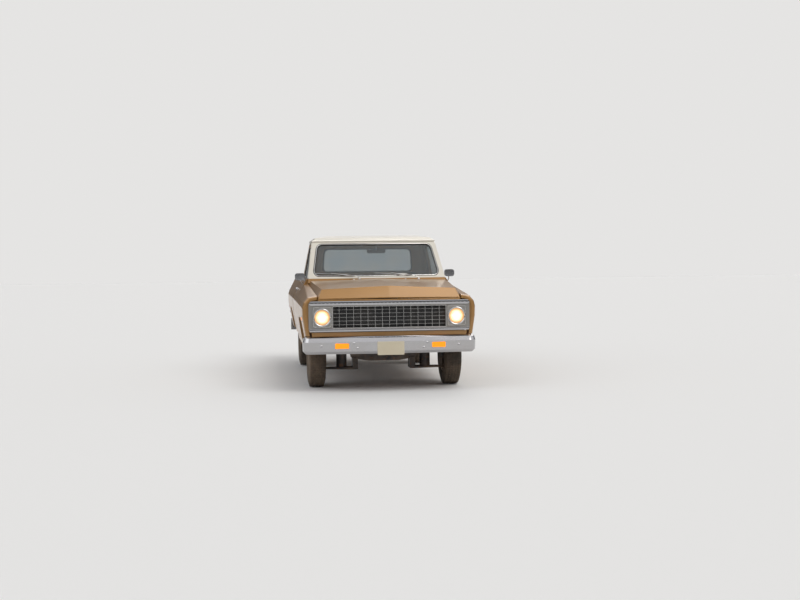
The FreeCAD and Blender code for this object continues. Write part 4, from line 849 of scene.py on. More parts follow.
def makeBumperFittings():
    sizes = {"bolts": ((0.376, 0.505), (0.416, 0.560), (0.780, 0.530)), "lamp": 0.548, "slope": math.radians(3.4)}
    fit = Piece("bumper_fittings", root, "chrome", "chrome")
    for side in (1, -1):
        for x, z in sizes["bolts"]:
            fit.lathe(surfaceHit("front_bumper", at(side * x, -0.3, z), backward), forward, boltHead, 24)
        middle, slope = side * sizes["lamp"], math.tan(sizes["slope"])
        path = rimPath(middle, 0.532, 0.0805, 0.0325, 0.013, 0.0020 + sizes["lamp"] * slope - 0.0035)
        path = [p + Vector((0, (p.x - middle) * side * slope, 0)) for p in path]
        fit.ribbon(path, bead(0.007, 0.005), forward, True)
    fit.finish()


def makePlateTrim():
    sizes = {"rim": (0.502, 0.1485, 0.072, 0.010, 0.0006), "screws": (0.089, 0.562), "foot": (0.13, 0.4295, 0.434)}
    plate = Piece("front_plate_rim", root, "plate_paint", "platePaint")
    plate.ribbon(rimPath(0, *sizes["rim"], 6), bead(0.0036, 0.0005), forward, True)
    screw = [(0, 0), (0.0065, 0), (0.0062, 0.0008), (0.003, 0.0011), (0, 0.0012)]
    plate.use("chrome")
    for side in (-1, 1):
        plate.lathe(at(side * sizes["screws"][0], 0.0012, sizes["screws"][1]), forward, screw, 16)
    half, low, high = sizes["foot"]
    foot = flat((-half, low, 0.004), (half, low, 0.004), (half, high, 0.002), (-half, high, 0.002))
    plate.use("sealRubber").slab(foot, "XZ", 0.0004, 0.0019, 0.0003)
    plate.finish()


def makeSideMarkers():
    sizes = {"front": (0.300, 0.835), "rear": (4.600, 0.800), "long": 0.060, "tall": 0.019,
             "rows": ((-0.6, 1.0), (0.6, 1.0), (1.0, 0.94))}  # how far each row of the lens stands out, and its size
    for name, node, look, slot in (("front", "front_fenders", "amberLens", "amber_lens"),
                                   ("rear", "bed_sides", "redLens", "red_lens")):
        marker = Piece("side_markers_" + name, root, slot, look)
        s, z = sizes[name]
        for side in (1, -1):
            spot = beside(node, side, s, z)
            lean = (beside(node, side, s, z + 0.01).x - spot.x) / 0.01
            for face, wide, tall, out in (("chrome", 0.008, 0.007, 0.0022), (look, 0.0, 0.0, 0.0045)):
                outline = oblong(s, z, sizes["long"] + wide, sizes["tall"] + tall, 0.008)
                points = [at(spot.x + lean * (p.y - z) + side * far * out, s + (p.x - s) * size, z + (p.y - z) * size)
                          for far, size in sizes["rows"] for p in outline]
                marker.use(face).sweep(points, len(outline), False)
        marker.finish()


def onScreen(outline, start, way):  # an outline carried onto the cab's glass, along the truck
    points = [surfaceHit("cab_glass", Vector((p.x, start, p.y)), way) for p in outline]
    known = next(p for p in points if p)
    for i, p in enumerate(points):
        if p is None:
            near = [points[(i + d) % len(points)] for d in (1, -1, 2, -2, 3, -3)]
            points[i] = Vector((outline[i].x, next((q for q in near if q), known).y, outline[i].y))
    return points


def makeGlassSeals():
    sizes = {"windshield_seal": ((0.792, 1.288, 0.060), (0.722, 1.690, 0.070), -3.0, backward, (0, -1, 0.55)),
             "rear_window_seal": ((0.610, 1.318, 0.060), (0.585, 1.640, 0.070), 3.0, forward, (0, 1, 0.2))}
    inset = 0.004  # how far the seal's path lies inside the opening
    section = [(-0.013, -0.006), (0.013, -0.006), (0.014, 0.006), (0.009, 0.0115), (0.0, 0.013), (-0.009, 0.011),
               (-0.013, 0.004)]
    for name, (low, high, start, way, up) in sizes.items():
        (a, b, soft), (c, d, tight) = low, high
        outline = flat((inset - a, b + inset, soft), (a - inset, b + inset, soft), (c - inset, d - inset, tight),
                       (inset - c, d - inset, tight))
        path = onScreen(denser(outline, 0.06), start, way)
        seal = Piece(name, root, "chassis_black", "sealRubber")
        seal.ribbon(path, section, up, True)
        seal.use("brightTrim").ribbon(path, bead(0.006, 0.003, 0.0120), up, True)
        seal.finish()


def makeWipers():
    sizes = {"pivots": ((-0.226, -0.570, 0.40), (0.506, 0.170, 0.40)), "station": 1.345, "up": (0, -1, 0.6)}
    cap = [(0, 0), (0.017, 0), (0.016, 0.010), (0.011, 0.014), (0.010, 0.026), (0.006, 0.030), (0, 0.031)]
    wipers = Piece("wipers", root, "chrome", "brightTrim")
    for x, mid, long in sizes["pivots"]:
        base = surfaceHit("cab_shell", at(x, sizes["station"], 1.6), (0, 0, -1))
        wipers.use("brightTrim").lathe(base - Vector((0, 0, 0.002)), (0, -0.25, 1), cap, 20)
        ends = []
        for share in (-0.5, 0.5):
            hit = surfaceHit("cab_glass", Vector((mid + share * long, -3.0, 1.318 - 0.012 * share)), backward)
            ends.append(hit + Vector((0, -0.013, 0.004)))
        centre = (ends[0] + ends[1]) / 2 + Vector((0, -0.020, 0.006))
        head = base + Vector((0, -0.004, 0.022))
        bend = head.lerp(centre, 0.2) + Vector((0, -0.012, 0.012))
        path = roundOff([(head, 0), (bend, 0.06), (centre, 0)], 6, False)
        wipers.use("argent").ribbon(path, even((0.0055, -0.002), (0.0040, 0.003)), sizes["up"])
        bow = [ends[0].lerp(ends[1], k / 8) + Vector((0, -0.012 * math.sin(math.pi * k / 8), 0)) for k in range(9)]
        wipers.ribbon(bow, even((0.003, -0.0015), (0.003, 0.0015)), sizes["up"])
        blade = [p + Vector((0, 0.004, 0)) for p in ends]
        wipers.use("sealRubber").ribbon(blade, even((0.004, -0.002), (0.0015, -0.009)), sizes["up"])
    wipers.finish()


def makeCowl():
    sizes = {"x": (0.04, 0.60), "station": (1.3125, 1.3435), "z": (1.2612, 1.2452), "ribs": 38, "pitch": 0.0148}
    cowl = Piece("cowl_vents", root, "body_paint", "grilleDark")
    outline = flat((-0.0045, -0.002), (0.0045, -0.002), (0.0035, 0.0012, 0.001), (-0.0015, 0.0020, 0.001))
    for side in (1, -1):
        rib = part("bodyPaint").slab(outline, "XZ", bodyY - 0.0150, bodyY + 0.0150, 0)
        rows = [[at(side * x, s, z) for x, z in zip(sizes["x"], sizes["z"])] for s in sizes["station"]]
        # a near-black sheet between the ribs: painted shade for the vent's openings
        cowl.use("grilleDark").skin(rows, (0, 0, -0.003))
        step = (side * sizes["pitch"], 0, sizes["pitch"] * -0.024 / 0.834)
        cowl.use("bodyPaint").repeat(rib, sizes["ribs"], step, at(side * 0.046, 1.328, sizes["z"][0]))
    cowl.use("brightTrim")
    for x in (-0.30, 0.34):
        foot = surfaceHit("cab_shell", at(x, 1.3025, 1.5), (0, 0, -1))
        cowl.lathe(foot, upward, [(0, -0.001), (0.007, -0.001), (0.006, 0.003), (0.004, 0.007), (0, 0.0075)], 16)
    cowl.finish()


def makeMirrorGlass():
    sizes = {"left": ("driver_door", 0.930, 1.318), "right": ("passenger_door", -0.950, 1.290),
             "glass": (0.056, 0.038, 0.025), "rim": (0.0575, 0.0395, 0.0265), "face": (1.6035, 1.6040, 1.6052)}
    front, middle, back = sizes["face"]
    for name in ("left", "right"):
        body, x, z = sizes[name]
        glass = Piece("mirror_glass_" + name, body, "chrome", "mirrorGlass")
        glass.slab(oblong(x, z, *sizes["glass"]), "XZ", front, back, 0.0006)
        rim = rimPath(x, z, *sizes["rim"], middle)
        glass.use("sealRubber").ribbon(rim, bead(0.003, 0.0024), backward, True)
        glass.finish()


makeLampRims()
makeGrilleTrim()
makeSurroundTrim()
makeBumperFittings()
makePlateTrim()
makeSideMarkers()
makeGlassSeals()
makeWipers()
makeCowl()
makeMirrorGlass()

print("doors")
windowEdge = [(1.561, 1.262), (1.8933, 1.654, 0.025), (2.520, 1.654, 0.040), (2.544, 1.262)]


def onSideGlass(spots, out=0.0):  # places on a door's glass, carried on past its edges as a flat sheet
    low, high = (1.95, 1.30), (2.45, 1.60)
    across = {(s, z): beside("door_glass_left", 1, s, z).x for s in (low[0], high[0]) for z in (low[1], high[1])}
    path = []
    for spot in spots:
        u, v = (spot.x - low[0]) / (high[0] - low[0]), (spot.y - low[1]) / (high[1] - low[1])
        rows = [across[low[0], z] * (1 - u) + across[high[0], z] * u for z in (low[1], high[1])]
        path.append(at(rows[0] * (1 - v) + rows[1] * v + out, spot.x, spot.y))
    return path


def makeDoorTrim():  # window seals, vent window, belt strip, handle and lock
    sizes = {"ventBar": 1.905, "handle": (2.425, 1.118), "sill": 1.236, "up": (1, 0, 0.15)}
    outer = Piece("door_trim_left", "driver_door", "bright_trim", "sealRubber")
    path = onSideGlass(denser(flat(*windowEdge), 0.07))
    seal = [(-0.009, -0.004), (0.007, -0.004), (0.007, 0.006), (0.0, 0.010), (-0.009, 0.008)]
    outer.ribbon(path, seal, sizes["up"], True)
    outer.use("brightTrim").ribbon(path, bead(0.004, 0.003, 0.0085), sizes["up"], True)
    bar = [beside("door_glass_left", 1, sizes["ventBar"] + 0.03 * (k / 6 - 1), 1.266 + 0.384 * k / 6) for k in range(7)]
    outer.ribbon([p for p in bar if p], even((0.009, -0.007), (0.009, 0.005), (0.005, 0.009)), sizes["up"])
    vent = denser(flat((1.600, 1.274, 0.02), (1.888, 1.618, 0.02), (1.893, 1.60), (1.866, 1.274, 0.008)), 0.06)
    outer.ribbon(onSideGlass(vent, 0.001), even((0.0045, -0.004), (0.004, 0.005)), sizes["up"], True)
    belt = [beside("door_left", 1, s, sizes["sill"]) for s in (1.53, 1.8, 2.1, 2.4, 2.565)]
    outer.ribbon([p for p in belt if p], even((0.005, -0.001), (0.004, 0.004)), (1, 0, 0.2))
    s, z = sizes["handle"]
    out = Vector((0.89, 0, 0.45))

    def on(ds, dz=0.0, lift=0.0):
        return beside("door_left", 1, s + ds, z + dz) + out * lift

    outer.use("chrome")
    for ds in (-0.062, 0.062):
        outer.lathe(on(ds, 0, -0.002), out, [(0, 0), (0.016, 0), (0.0155, 0.003), (0.010, 0.006), (0.0085, 0.014),
                                             (0, 0.015)], 24)
    bends = ((-0.072, 0.011, 0), (-0.05, 0.026, 0.03), (0.04, 0.027, 0.03), (0.075, 0.014, 0))
    grip = [(on(ds, 0, lift), bend) for ds, lift, bend in bends]
    outer.ribbon(roundOff(grip, 6, False), even((0.0075, -0.004), (0.009, 0.0), (0.006, 0.004)), out)
    outer.lathe(on(0.064, 0, 0.004), out, [(0, 0), (0.011, 0), (0.011, 0.017), (0.009, 0.020), (0, 0.0205)], 24)
    outer.lathe(on(0.066, -0.040, -0.001), out, [(0, 0), (0.0085, 0), (0.008, 0.003), (0.003, 0.0035), (0, 0.0025)], 20)
    twin(outer.finish(), "door_trim_right", "passenger_door")


def makeDoorCard():  # the inner panel, with its armrest, winder and inner handle
    sizes = {"face": 0.8145, "pleats": 9, "pitch": 0.086, "winder": (1.86, 0.84, 0.125, -0.25),
             "lever": (1.74, 1.085, 0.10, 0.05)}
    x = sizes["face"]
    card = Piece("door_card_left", "driver_door", "interior_plastic", "trimVinyl")
    panel = flat((1.56, 0.600, 0.03), (2.52, 0.600, 0.03), (2.52, 1.212, 0.02), (1.56, 1.212, 0.02))
    card.slab(panel, "YZ", x - 0.006, x + 0.0006, 0.003).use("seatVinyl")
    for k in range(sizes["pleats"]):
        card.slab(oblong(1.70 + k * sizes["pitch"], 0.80, 0.040, 0.10, 0.02), "YZ", x - 0.0115, x - 0.004, 0.004)
    rest = flat((1.93, 0.935, 0.02), (2.36, 0.945, 0.03), (2.36, 1.000, 0.025), (2.15, 1.010, 0.03),
                (1.93, 0.980, 0.02))
    card.use("darkPlastic").slab(rest, "YZ", x - 0.062, x - 0.003, 0.014)
    card.box(at(x - 0.0105, 1.575, 0.614), at(x - 0.003, 2.505, 0.652), 0.003).use("chrome")
    card.ribbon(route((x - 0.008, 1.60, 1.040), (x - 0.008, 2.48, 1.040)), bead(0.010, 0.003), (-1, 0, 0))
    hub = [(0, 0), (0.024, 0), (0.022, 0.006), (0.010, 0.010), (0.009, 0.026), (0, 0.027)]
    for name in ("winder", "lever"):
        s, z, reach, lean = sizes[name]
        card.use("chrome").lathe(at(x - 0.004, s, z), (-1, 0, 0), hub, 28)
        end = (x - 0.040, s + reach, z + reach * lean)
        arm = route((x - 0.026, s, z), (x - 0.032, s + reach * 0.5, z + reach * lean * 0.5), end)
        card.ribbon(arm, even((0.007, -0.003), (0.006, 0.003)), (-1, 0, 0))
        if name == "winder":
            knob = [(0, -0.004), (0.009, -0.002), (0.012, 0.012), (0.009, 0.026), (0, 0.028)]
            card.use("darkPlastic").lathe(arm[-1], (-1, 0, 0), knob, 20)
    twin(card.finish(), "door_card_right", "passenger_door")


def makeCabTrim():  # the gutters over the doors, and the strip round the back where the colour changes
    sizes = {"strip": 1.2665, "corner": (0.745, 2.56),
             "rail": ((1.488, 1.271), (1.56, 1.355), (1.65, 1.460), (1.75, 1.577), (1.832, 1.672), (1.851, 1.694),
                      (1.875, 1.7065), (1.92, 1.7085), (2.1, 1.7085), (2.3, 1.7085), (2.5, 1.7085), (2.585, 1.7085))}
    gutter = [(-0.0045, -0.0015), (0.0045, -0.0015), (0.0045, 0.0085), (0.0025, 0.0095), (0.0010, 0.0050),
              (-0.0030, 0.0050)]
    trim = Piece("cab_trim", root, "bright_trim", "roofPaint")
    for side in (1, -1):
        rail = [beside("cab_shell", side, s, z) for s, z in sizes["rail"]]
        if side < 0:
            rail.reverse()  # so that the gutter's lip stands on the outside of both rails
        trim.ribbon([p for p in rail if p], gutter, (side, 0, 0.18))
    x, s = sizes["corner"]
    rays = [((x + 0.5, s + 0.04 + k * 0.04), (-1, 0)) for k in (0, 1)]
    for turn in range(20, 90, 14):
        a, b = math.cos(math.radians(turn)), math.sin(math.radians(turn))
        rays.append(((x + 0.45 * a, s + 0.05 + 0.45 * b), (-a, -b)))
    rays += [((x - 0.02 - k * 0.12, s + 0.5), (0, -1)) for k in range(7)]
    strip = [surfaceHit("cab_shell", at(a, b, sizes["strip"]), (*way, 0)) for (a, b), way in rays]
    strip = [p for p in strip if p]
    strip += [Vector((-p.x, p.y, p.z)) for p in strip[::-1]]
    trim.use("brightTrim").ribbon(strip, [(-0.001, -0.0065), (0.003, -0.0055), (0.0048, 0.0), (0.003, 0.0055),
                                          (-0.001, 0.0065)])
    trim.finish()


makeDoorTrim()
makeDoorCard()
makeCabTrim()

print("seats")


def padMesh(profile, half, puff):  # a bench pad blown up by a short cloth run, then smoothed once
    shape = Piece("pad", None, None, "seatVinyl")
    shape.slab(flat(*profile), "YZ", -half, half, 0.012)
    mesh = bpy.data.meshes.new("pad")
    shape.mesh.to_mesh(mesh)
    shape.mesh.free()
    pad = bpy.data.objects.new("pad", mesh)
    bpy.context.scene.collection.objects.link(pad)
    bpy.context.view_layer.objects.active = pad
    remesh = pad.modifiers.new("even", "REMESH")
    remesh.mode, remesh.voxel_size = "VOXEL", puff["voxel"]
    pad.data = evaluated(pad)
    pad.modifiers.clear()
    before = [v.co.copy() for v in pad.data.vertices]
    cloth = pad.modifiers.new("air", "CLOTH")
    cloth.settings.use_pressure = True
    cloth.settings.uniform_pressure_force = puff["pressure"]
    cloth.settings.effector_weights.gravity = 0
    for still in range(1, puff["frames"] + 1):
        bpy.context.scene.frame_set(still)
    blown = evaluated(pad)
    pad.modifiers.clear()
    for v, start in zip(blown.vertices, before):
        move = v.co - start
        if move.length > puff["cap"]:
            v.co = start + move.normalized() * puff["cap"]
    pad.data = blown
    bpy.context.scene.frame_set(1)
    pad.modifiers.new("smooth", "SUBSURF").levels = 1
    result = evaluated(pad)
    pad.modifiers.clear()
    bpy.data.objects.remove(pad)
    result.polygons.foreach_set("use_smooth", [True] * len(result.polygons))
    return result


def sew(mesh, rule):  # sinks sewn channels, to the depth that the rule gives for a point and its normal
    moves = [v.normal * -rule(v.co, v.normal) for v in mesh.vertices]
    for v, move in zip(mesh.vertices, moves):
        v.co += move


def makeSeats():
    puff = {"voxel": 0.0125, "pressure": 4.0, "frames": 20, "cap": 0.024, "half": 0.684}
    sewn = {"pitch": 0.078, "depth": 0.010, "wide": 0.010, "half": 0.585, "border": 0.008, "reach": 0.02}
    cushionEdge = ((2.004, 0.728, 0.03), (1.992, 0.862, 0.055), (2.425, 0.832, 0.03), (2.448, 0.728, 0.02))
    backEdge = ((2.486, 0.734, 0.03), (2.464, 0.862, 0.03), (2.562, 1.298, 0.055), (2.632, 1.298, 0.05),
                (2.672, 1.235, 0.03), (2.628, 0.734, 0.02))

    def channels(x, along, low, high):
        if abs(x) > sewn["half"] + sewn["reach"] or not low - sewn["reach"] < along < high + sewn["reach"]:
            return 0.0
        edge = max(abs(x) - sewn["half"], low - along, along - high)
        rim = sewn["border"] * math.exp(-(edge / 0.008) ** 2)
        if edge >= 0:
            return rim
        off = (x / sewn["pitch"] + 0.5) % 1.0 - 0.5
        line = math.exp(-(off * sewn["pitch"] / sewn["wide"]) ** 2)
        return rim + sewn["depth"] * (0.75 * line + 0.25 * (0.5 + 0.5 * math.cos(off * 2 * math.pi)))

    cushion = padMesh(cushionEdge, puff["half"], puff)
    sew(cushion, lambda p, n: channels(p.x, p.y + bodyY, 2.055, 2.40) if n.z > 0.75 else 0.0)
    back = padMesh(backEdge, puff["half"], puff)
    sew(back, lambda p, n: channels(p.x, p.z, 0.93, 1.245) if n.y < -0.75 else 0.0)
    for name, mesh, node, welts in (("seat_cushion_pad", cushion, "seat_cushion", ((0.80, 1),)),
                                    ("seat_back_pad", back, "seat_back", ((1.262, 1), (1.262, -1)))):
        tree = treeOf(mesh)
        piece = Piece(name, root, "seat_vinyl", "seatVinyl")
        piece.take([v.co.copy() for v in mesh.vertices], [list(p.vertices) for p in mesh.polygons])
        piece.use("trimVinyl")
        for z, way in welts:
            hits = [tree.ray_cast(Vector((x * 0.066, -2.0 * way, z)), Vector((0, way, 0)))[0] for x in range(-10, 11)]
            piece.tube([p - Vector((0, 0.0015 * way, 0)) for p in hits if p], 0.0042, 8)
        if node == "seat_cushion":
            piece.use("chassisBlack")
            for s in (2.045, 2.420):
                piece.box(at(-0.632, s, 0.601), at(0.632, s + 0.015, 0.716), 0.003)
            for x in (-0.60, -0.2, 0.2, 0.60):
                piece.box(at(x - 0.014, 2.0605, 0.602), at(x + 0.014, 2.4195, 0.714), 0.003)
            piece.use("chrome").box(at(0.43, 1.992, 0.640), at(0.47, 2.044, 0.650), 0.003)
        shown = piece.finish(None)
        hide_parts(node)


def makeBelts():
    sizes = {"rear": 2.405, "long": 0.235,
             "ends": ((0.145, 0.20, (0.022, 0.036, 0.010)), (0.60, 0.50, (0.015, 0.022, 0.0035)))}
    belts = Piece("lap_belts", root, "seat_vinyl", "sealRubber")
    tree = treeOf(bpy.data.objects["seat_cushion_pad"].data)
    for side in (1, -1):
        for start, end, (wide, long, thick) in sizes["ends"]:
            path = []
            for k in range(9):
                share = k / 8
                x = side * (start + (end - start) * share + 0.01 * math.sin(share * 5))
                hit = tree.ray_cast(at(x, sizes["rear"] - sizes["long"] * share, 1.0), Vector((0, 0, -1)))[0]
                path.append(hit + Vector((0, 0, 0.0022)))
            belts.use("sealRubber").ribbon(path, even((0.0225, -0.001), (0.0225, 0.001)))
            tip = path[-1]
            low, high = Vector((-wide, -long, 0.001)), Vector((wide, 0.010, thick + 0.001))
            belts.use("chrome").box(tip + low, tip + high, 0.0025)
    belts.finish()


makeSeats()
makeBelts()

print("cab inside")


def makeInstruments():
    lean = {"binnacle": (Vector((0, 0.974, 0.2265)), Vector((0, -0.2265, 0.974)), at(0.395, 1.6500, 1.143)),
            "panel": (Vector((0, 0.983, -0.184)), Vector((0, 0.184, 0.983)), at(0, 1.6250, 1.040))}  # each one's axes
    sizes = {"dials": ((-0.125, 0, 0.036, 11, 0.6), (0.125, 0, 0.036, 9, -0.9), (-0.038, 0.0190, 0.0165, 5, 0.3),
                       (0.038, 0.0190, 0.0165, 5, -0.4), (-0.038, -0.0190, 0.0165, 5, 0),
                       (0.038, -0.0190, 0.0165, 5, 0)),
             "knobs": (0.235, 0.275, 0.56, 0.60, 0.64), "sweep": 130}
    cluster = Piece("instruments", root, "interior_plastic", "darkPlastic")
    normal, rise = lean["binnacle"][:2]
    facing = lean["panel"][0]

    def spot(face, x, up, out=0.0):
        away, higher, middle = lean[face]
        return middle + Vector((x, 0, 0)) + higher * up + away * out

    def plate(face, x, up, wide, tall, low, high, soft=0.003):
        turn = Matrix((Vector(leftward), *lean[face][:2])).transposed().to_4x4()
        turn.translation = spot(face, x, up)
        cluster.box((-wide / 2, low, -tall / 2), (wide / 2, high, tall / 2), soft, 2, turn)

    plate("binnacle", 0, 0, 0.385, 0.082, -0.004, 0.003)
    border = roundOff([(spot("binnacle", a * 0.194, b * 0.0405), 0.012) for a, b in corners])
    cluster.use("brightTrim").ribbon(border, bead(0.005, 0.005), normal, True)
    for x, up, r, ticks, point in sizes["dials"]:
        centre = spot("binnacle", x, up)
        cluster.use("dialFace").lathe(centre, normal, [(0, 0.003), (r, 0.003), (r, 0.0042), (0, 0.0042)], 36)
        ring = [(r - 0.001, 0.003), (r + 0.002, 0.003), (r + 0.002, 0.009), (r, 0.010), (r - 0.001, 0.008)]
        cluster.use("brightTrim").lathe(centre, normal, ring, 36, loop=True)
        cluster.use("dialMark")
        for k in range(ticks):
            angle = math.radians(-sizes["sweep"] + 2 * sizes["sweep"] * k / (ticks - 1))
            arm = Vector((math.sin(angle), 0, 0)) + rise * math.cos(angle)
            foot = centre + normal * 0.0043 + arm * r * 0.76
            cluster.ribbon([foot, foot + arm * r * 0.14], even((0.0006, -0.0003), (0.0006, 0.0003)), normal)
        arm = (Vector((math.sin(point), 0, 0)) + rise * math.cos(point)) * r
        pin = centre + normal * 0.0052
        needle = even((0.0008, -0.0003), (0.0003, 0.0004))
        # the needles take the red lens finish, whose faint emission is a painted glow
        cluster.use("redLens").ribbon([pin - arm * 0.1, pin + arm * 0.68], needle, normal)
        cluster.use("dialFace").lathe(centre, normal, [(0, 0.005), (0.0032, 0.005), (0.0026, 0.0075), (0, 0.008)], 14)
    cluster.use("brightTrim")
    plate("panel", -0.46, 0.012, 0.385, 0.118, 0.001, 0.0035)
    cluster.use("darkPlastic")
    plate("panel", -0.46, 0.012, 0.375, 0.108, 0.0025, 0.0062)
    plate("panel", 0.0, 0.020, 0.225, 0.072, 0.001, 0.008, 0.003)
    cluster.use("chrome").lathe(spot("panel", -0.46, 0.050, 0.006), facing,
                                [(0, 0), (0.013, 0), (0.012, 0.006), (0.005, 0.009), (0, 0.009)], 24)
    cluster.use("dialFace")
    plate("panel", 0.0, 0.036, 0.120, 0.022, 0.0075, 0.0090, 0.001)
    cluster.use("dialMark")
    for k in range(9):
        plate("panel", -0.048 + k * 0.012, 0.038, 0.0008, 0.006 if k % 4 else 0.010, 0.0088, 0.0094, 0.0002)
    cluster.use("chrome")
    for x in (-0.088, 0.088):
        cluster.lathe(spot("panel", x, 0.020, 0.007), facing, [(0, 0), (0.015, 0), (0.0145, 0.003), (0.010, 0.005),
                                                               (0.0095, 0.016), (0, 0.017)], 28)
    for k in range(5):
        plate("panel", -0.048 + k * 0.024, 0.004, 0.020, 0.011, 0.007, 0.0155, 0.0015)
    stem = [(0, 0), (0.012, 0), (0.011, 0.003), (0.004, 0.004), (0.004, 0.012), (0, 0.013)]
    knob = [(0, 0), (0.0075, 0), (0.009, 0.006), (0.0085, 0.014), (0.004, 0.017), (0, 0.0172)]
    for x in sizes["knobs"]:
        cluster.use("brightTrim").lathe(spot("panel", x, 0.03), facing, stem, 24)
        cluster.use("darkPlastic").lathe(spot("panel", x, 0.03, 0.012), facing, knob, 24)
    plate("panel", 0.0, -0.048, 0.200, 0.036, 0.001, 0.007, 0.002)
    for k in range(3):
        x = k * 0.05 - 0.05
        cluster.use("dialMark")
        plate("panel", x, -0.048, 0.030, 0.003, 0.0065, 0.0078, 0.0004)
        cluster.use("chrome")
        plate("panel", x - 0.008 + 0.008 * k, -0.048, 0.006, 0.013, 0.007, 0.016, 0.001)
    strip = [spot("panel", x, 0.078) for x in (-0.78, 0.17)]
    cluster.use("brightTrim").ribbon(strip, bead(0.007, 0.003), facing)
    cluster.finish()


def makeSteeringDress():
    sizes = {"lean": math.radians(34.9), "ring": 0.118, "spokes": (0.12, math.pi - 0.12, -0.95, math.pi + 0.95),
             "centre": (0.395, 1.842, 1.168), "column": 0.150}
    centre = at(*sizes["centre"])
    axis = Vector((0, math.cos(sizes["lean"]), math.sin(sizes["lean"])))
    rise = Vector((0, -math.sin(sizes["lean"]), math.cos(sizes["lean"])))
    across = Vector(leftward)
    wheel = Piece("steering_wheel_dress", "hand_wheel", "interior_plastic", "darkPlastic")
    wheel.lathe(centre, axis, [(0, -0.018), (0.060, -0.018), (0.064, -0.010), (0.060, 0.002), (0.045, 0.011),
                               (0.02, 0.015), (0, 0.0155)], 48)
    bezel = [(0.047, 0.0095), (0.051, 0.0075), (0.050, 0.013), (0.047, 0.0135)]
    wheel.use("chrome").lathe(centre, axis, bezel, 48, loop=True)
    ring = []
    for turn in [k * 2 * math.pi / 56 for k in range(56)]:
        arm = (across * math.cos(turn) + rise * math.sin(turn)) * sizes["ring"]
        ring.append(centre + axis * (0.006 + 0.002 * math.cos(2 * turn)) + arm)
    wheel.tube(ring, 0.0032, 8, closed=True)
    for turn in sizes["spokes"]:
        arm = across * math.cos(turn) + rise * math.sin(turn)
        spoke = [centre + axis * 0.004 + arm * 0.055, centre + axis * 0.006 + arm * (sizes["ring"] - 0.002)]
        wheel.tube(spoke, 0.003, 8)
    wheel.finish()
    column = Piece("column_levers", root, "interior_plastic", "darkPlastic")
    base = centre - axis * sizes["column"]
    shroud = [(0.030, -0.06), (0.036, -0.055), (0.041, 0.03), (0.039, 0.052), (0.030, 0.054)]
    column.lathe(base, axis, shroud, 40, loop=True)
    for side, lift, reach, knob in ((1, 0.35, 0.175, 0.0065), (-1, 0.75, 0.215, 0.012)):
        way = (across * side + rise * lift + axis * 0.15).normalized()
        start = base + across * side * 0.034
        end = start + way * reach
        column.use("chrome").tube([start, end], 0.0034, 10)
        column.use("darkPlastic").lathe(end, way, [(0, -0.028), (0.005, -0.028), (knob, -0.012), (knob, 0.006),
                                                   (knob * 0.5, 0.012), (0, 0.0125)], 20)
    column.finish()


def makeCabFittings():
    sizes = {"mirror": (0.03, 1.600), "pedals": ((0.52, 0.036), (0.385, 0.042)), "pedal": (1.545, 0.745, 0.052),
             "mat": (1.395, 0.62, 0.6035), "lining": (1.905, 0.69, 1.724), "visor": (0.36, 1.905, 1.684, -9)}
    inside = Piece("cab_fittings", root, "interior_plastic", "floorMat")
    start, long, z = sizes["mat"]
    rows = []
    for k in range(13):
        hump = 0.085 * (1 - k / 12)  # the mat's hump over the gearbox, lower towards the seat
        rows.append([at(x, start + long * k / 12, z + hump * math.exp(-(x / 0.13) ** 4))
                     for x in [-0.70 + 1.40 * j / 36 for j in range(37)]])
    inside.skin(rows, (0, 0, -0.003))
    start, long, z = sizes["lining"]
    rows = [[at(x * (0.70 - 0.03 * k / 8), start + long * k / 8, z + 0.026 * (1 - x * x))
             for x in [j / 10 for j in range(-10, 11)]] for k in range(9)]
    inside.use("headliner").skin(rows, (0, 0, 0.003))
    for side in (1, -1):
        x, s, z, tilt = sizes["visor"]
        lean = Matrix.Translation(at(side * x, s, z)) @ Matrix.Rotation(math.radians(tilt), 4, "X")
        inside.use("headliner").box((-0.235, -0.075, -0.009), (0.235, 0.075, 0.009), 0.008, 3, lean)
        inside.use("chrome").tube(route((side * 0.13, 1.850, 1.700), (side * 0.60, 1.838, 1.696)), 0.0042, 8)
    x, z = sizes["mirror"]
    inside.use("darkPlastic").slab(oblong(x, z, 0.120, 0.029, 0.024), "XZ", 1.826, 1.840, 0.004)
    inside.use("mirrorGlass").slab(oblong(x, z, 0.114, 0.023, 0.018), "XZ", 1.8395, 1.8412, 0.0004)
    inside.use("chrome").tube(route((x, 1.828, 1.605), (x, 1.822, 1.655), (x, 1.845, 1.695)), 0.0055, 10)
    s, z, tall = sizes["pedal"]
    for x, wide in sizes["pedals"]:
        inside.use("sealRubber").box(at(x - wide, s, z - tall / 2), at(x + wide, s + 0.014, z + tall / 2), 0.004)
        lever = route((x, s - 0.003, z), (x, s - 0.06, z + 0.14), (x, s - 0.10, z + 0.32))
        inside.use("chassisBlack").tube(lever, 0.008, 8)
    inside.use("sealRubber").box(at(0.225, 1.500, 0.612), at(0.275, 1.520, 0.760), 0.005)
    inside.use("chassisBlack").tube(route((0.25, 1.505, 0.74), (0.25, 1.45, 0.82), (0.25, 1.40, 0.86)), 0.006, 8)
    for side in (1, -1):
        inside.use("trimVinyl").box(at(side * 0.76 - 0.02, 1.40, 0.606), at(side * 0.76 + 0.02, 1.49, 0.93), 0.006)
    inside.finish()


makeInstruments()
makeSteeringDress()
makeCabFittings()

print("load bed")


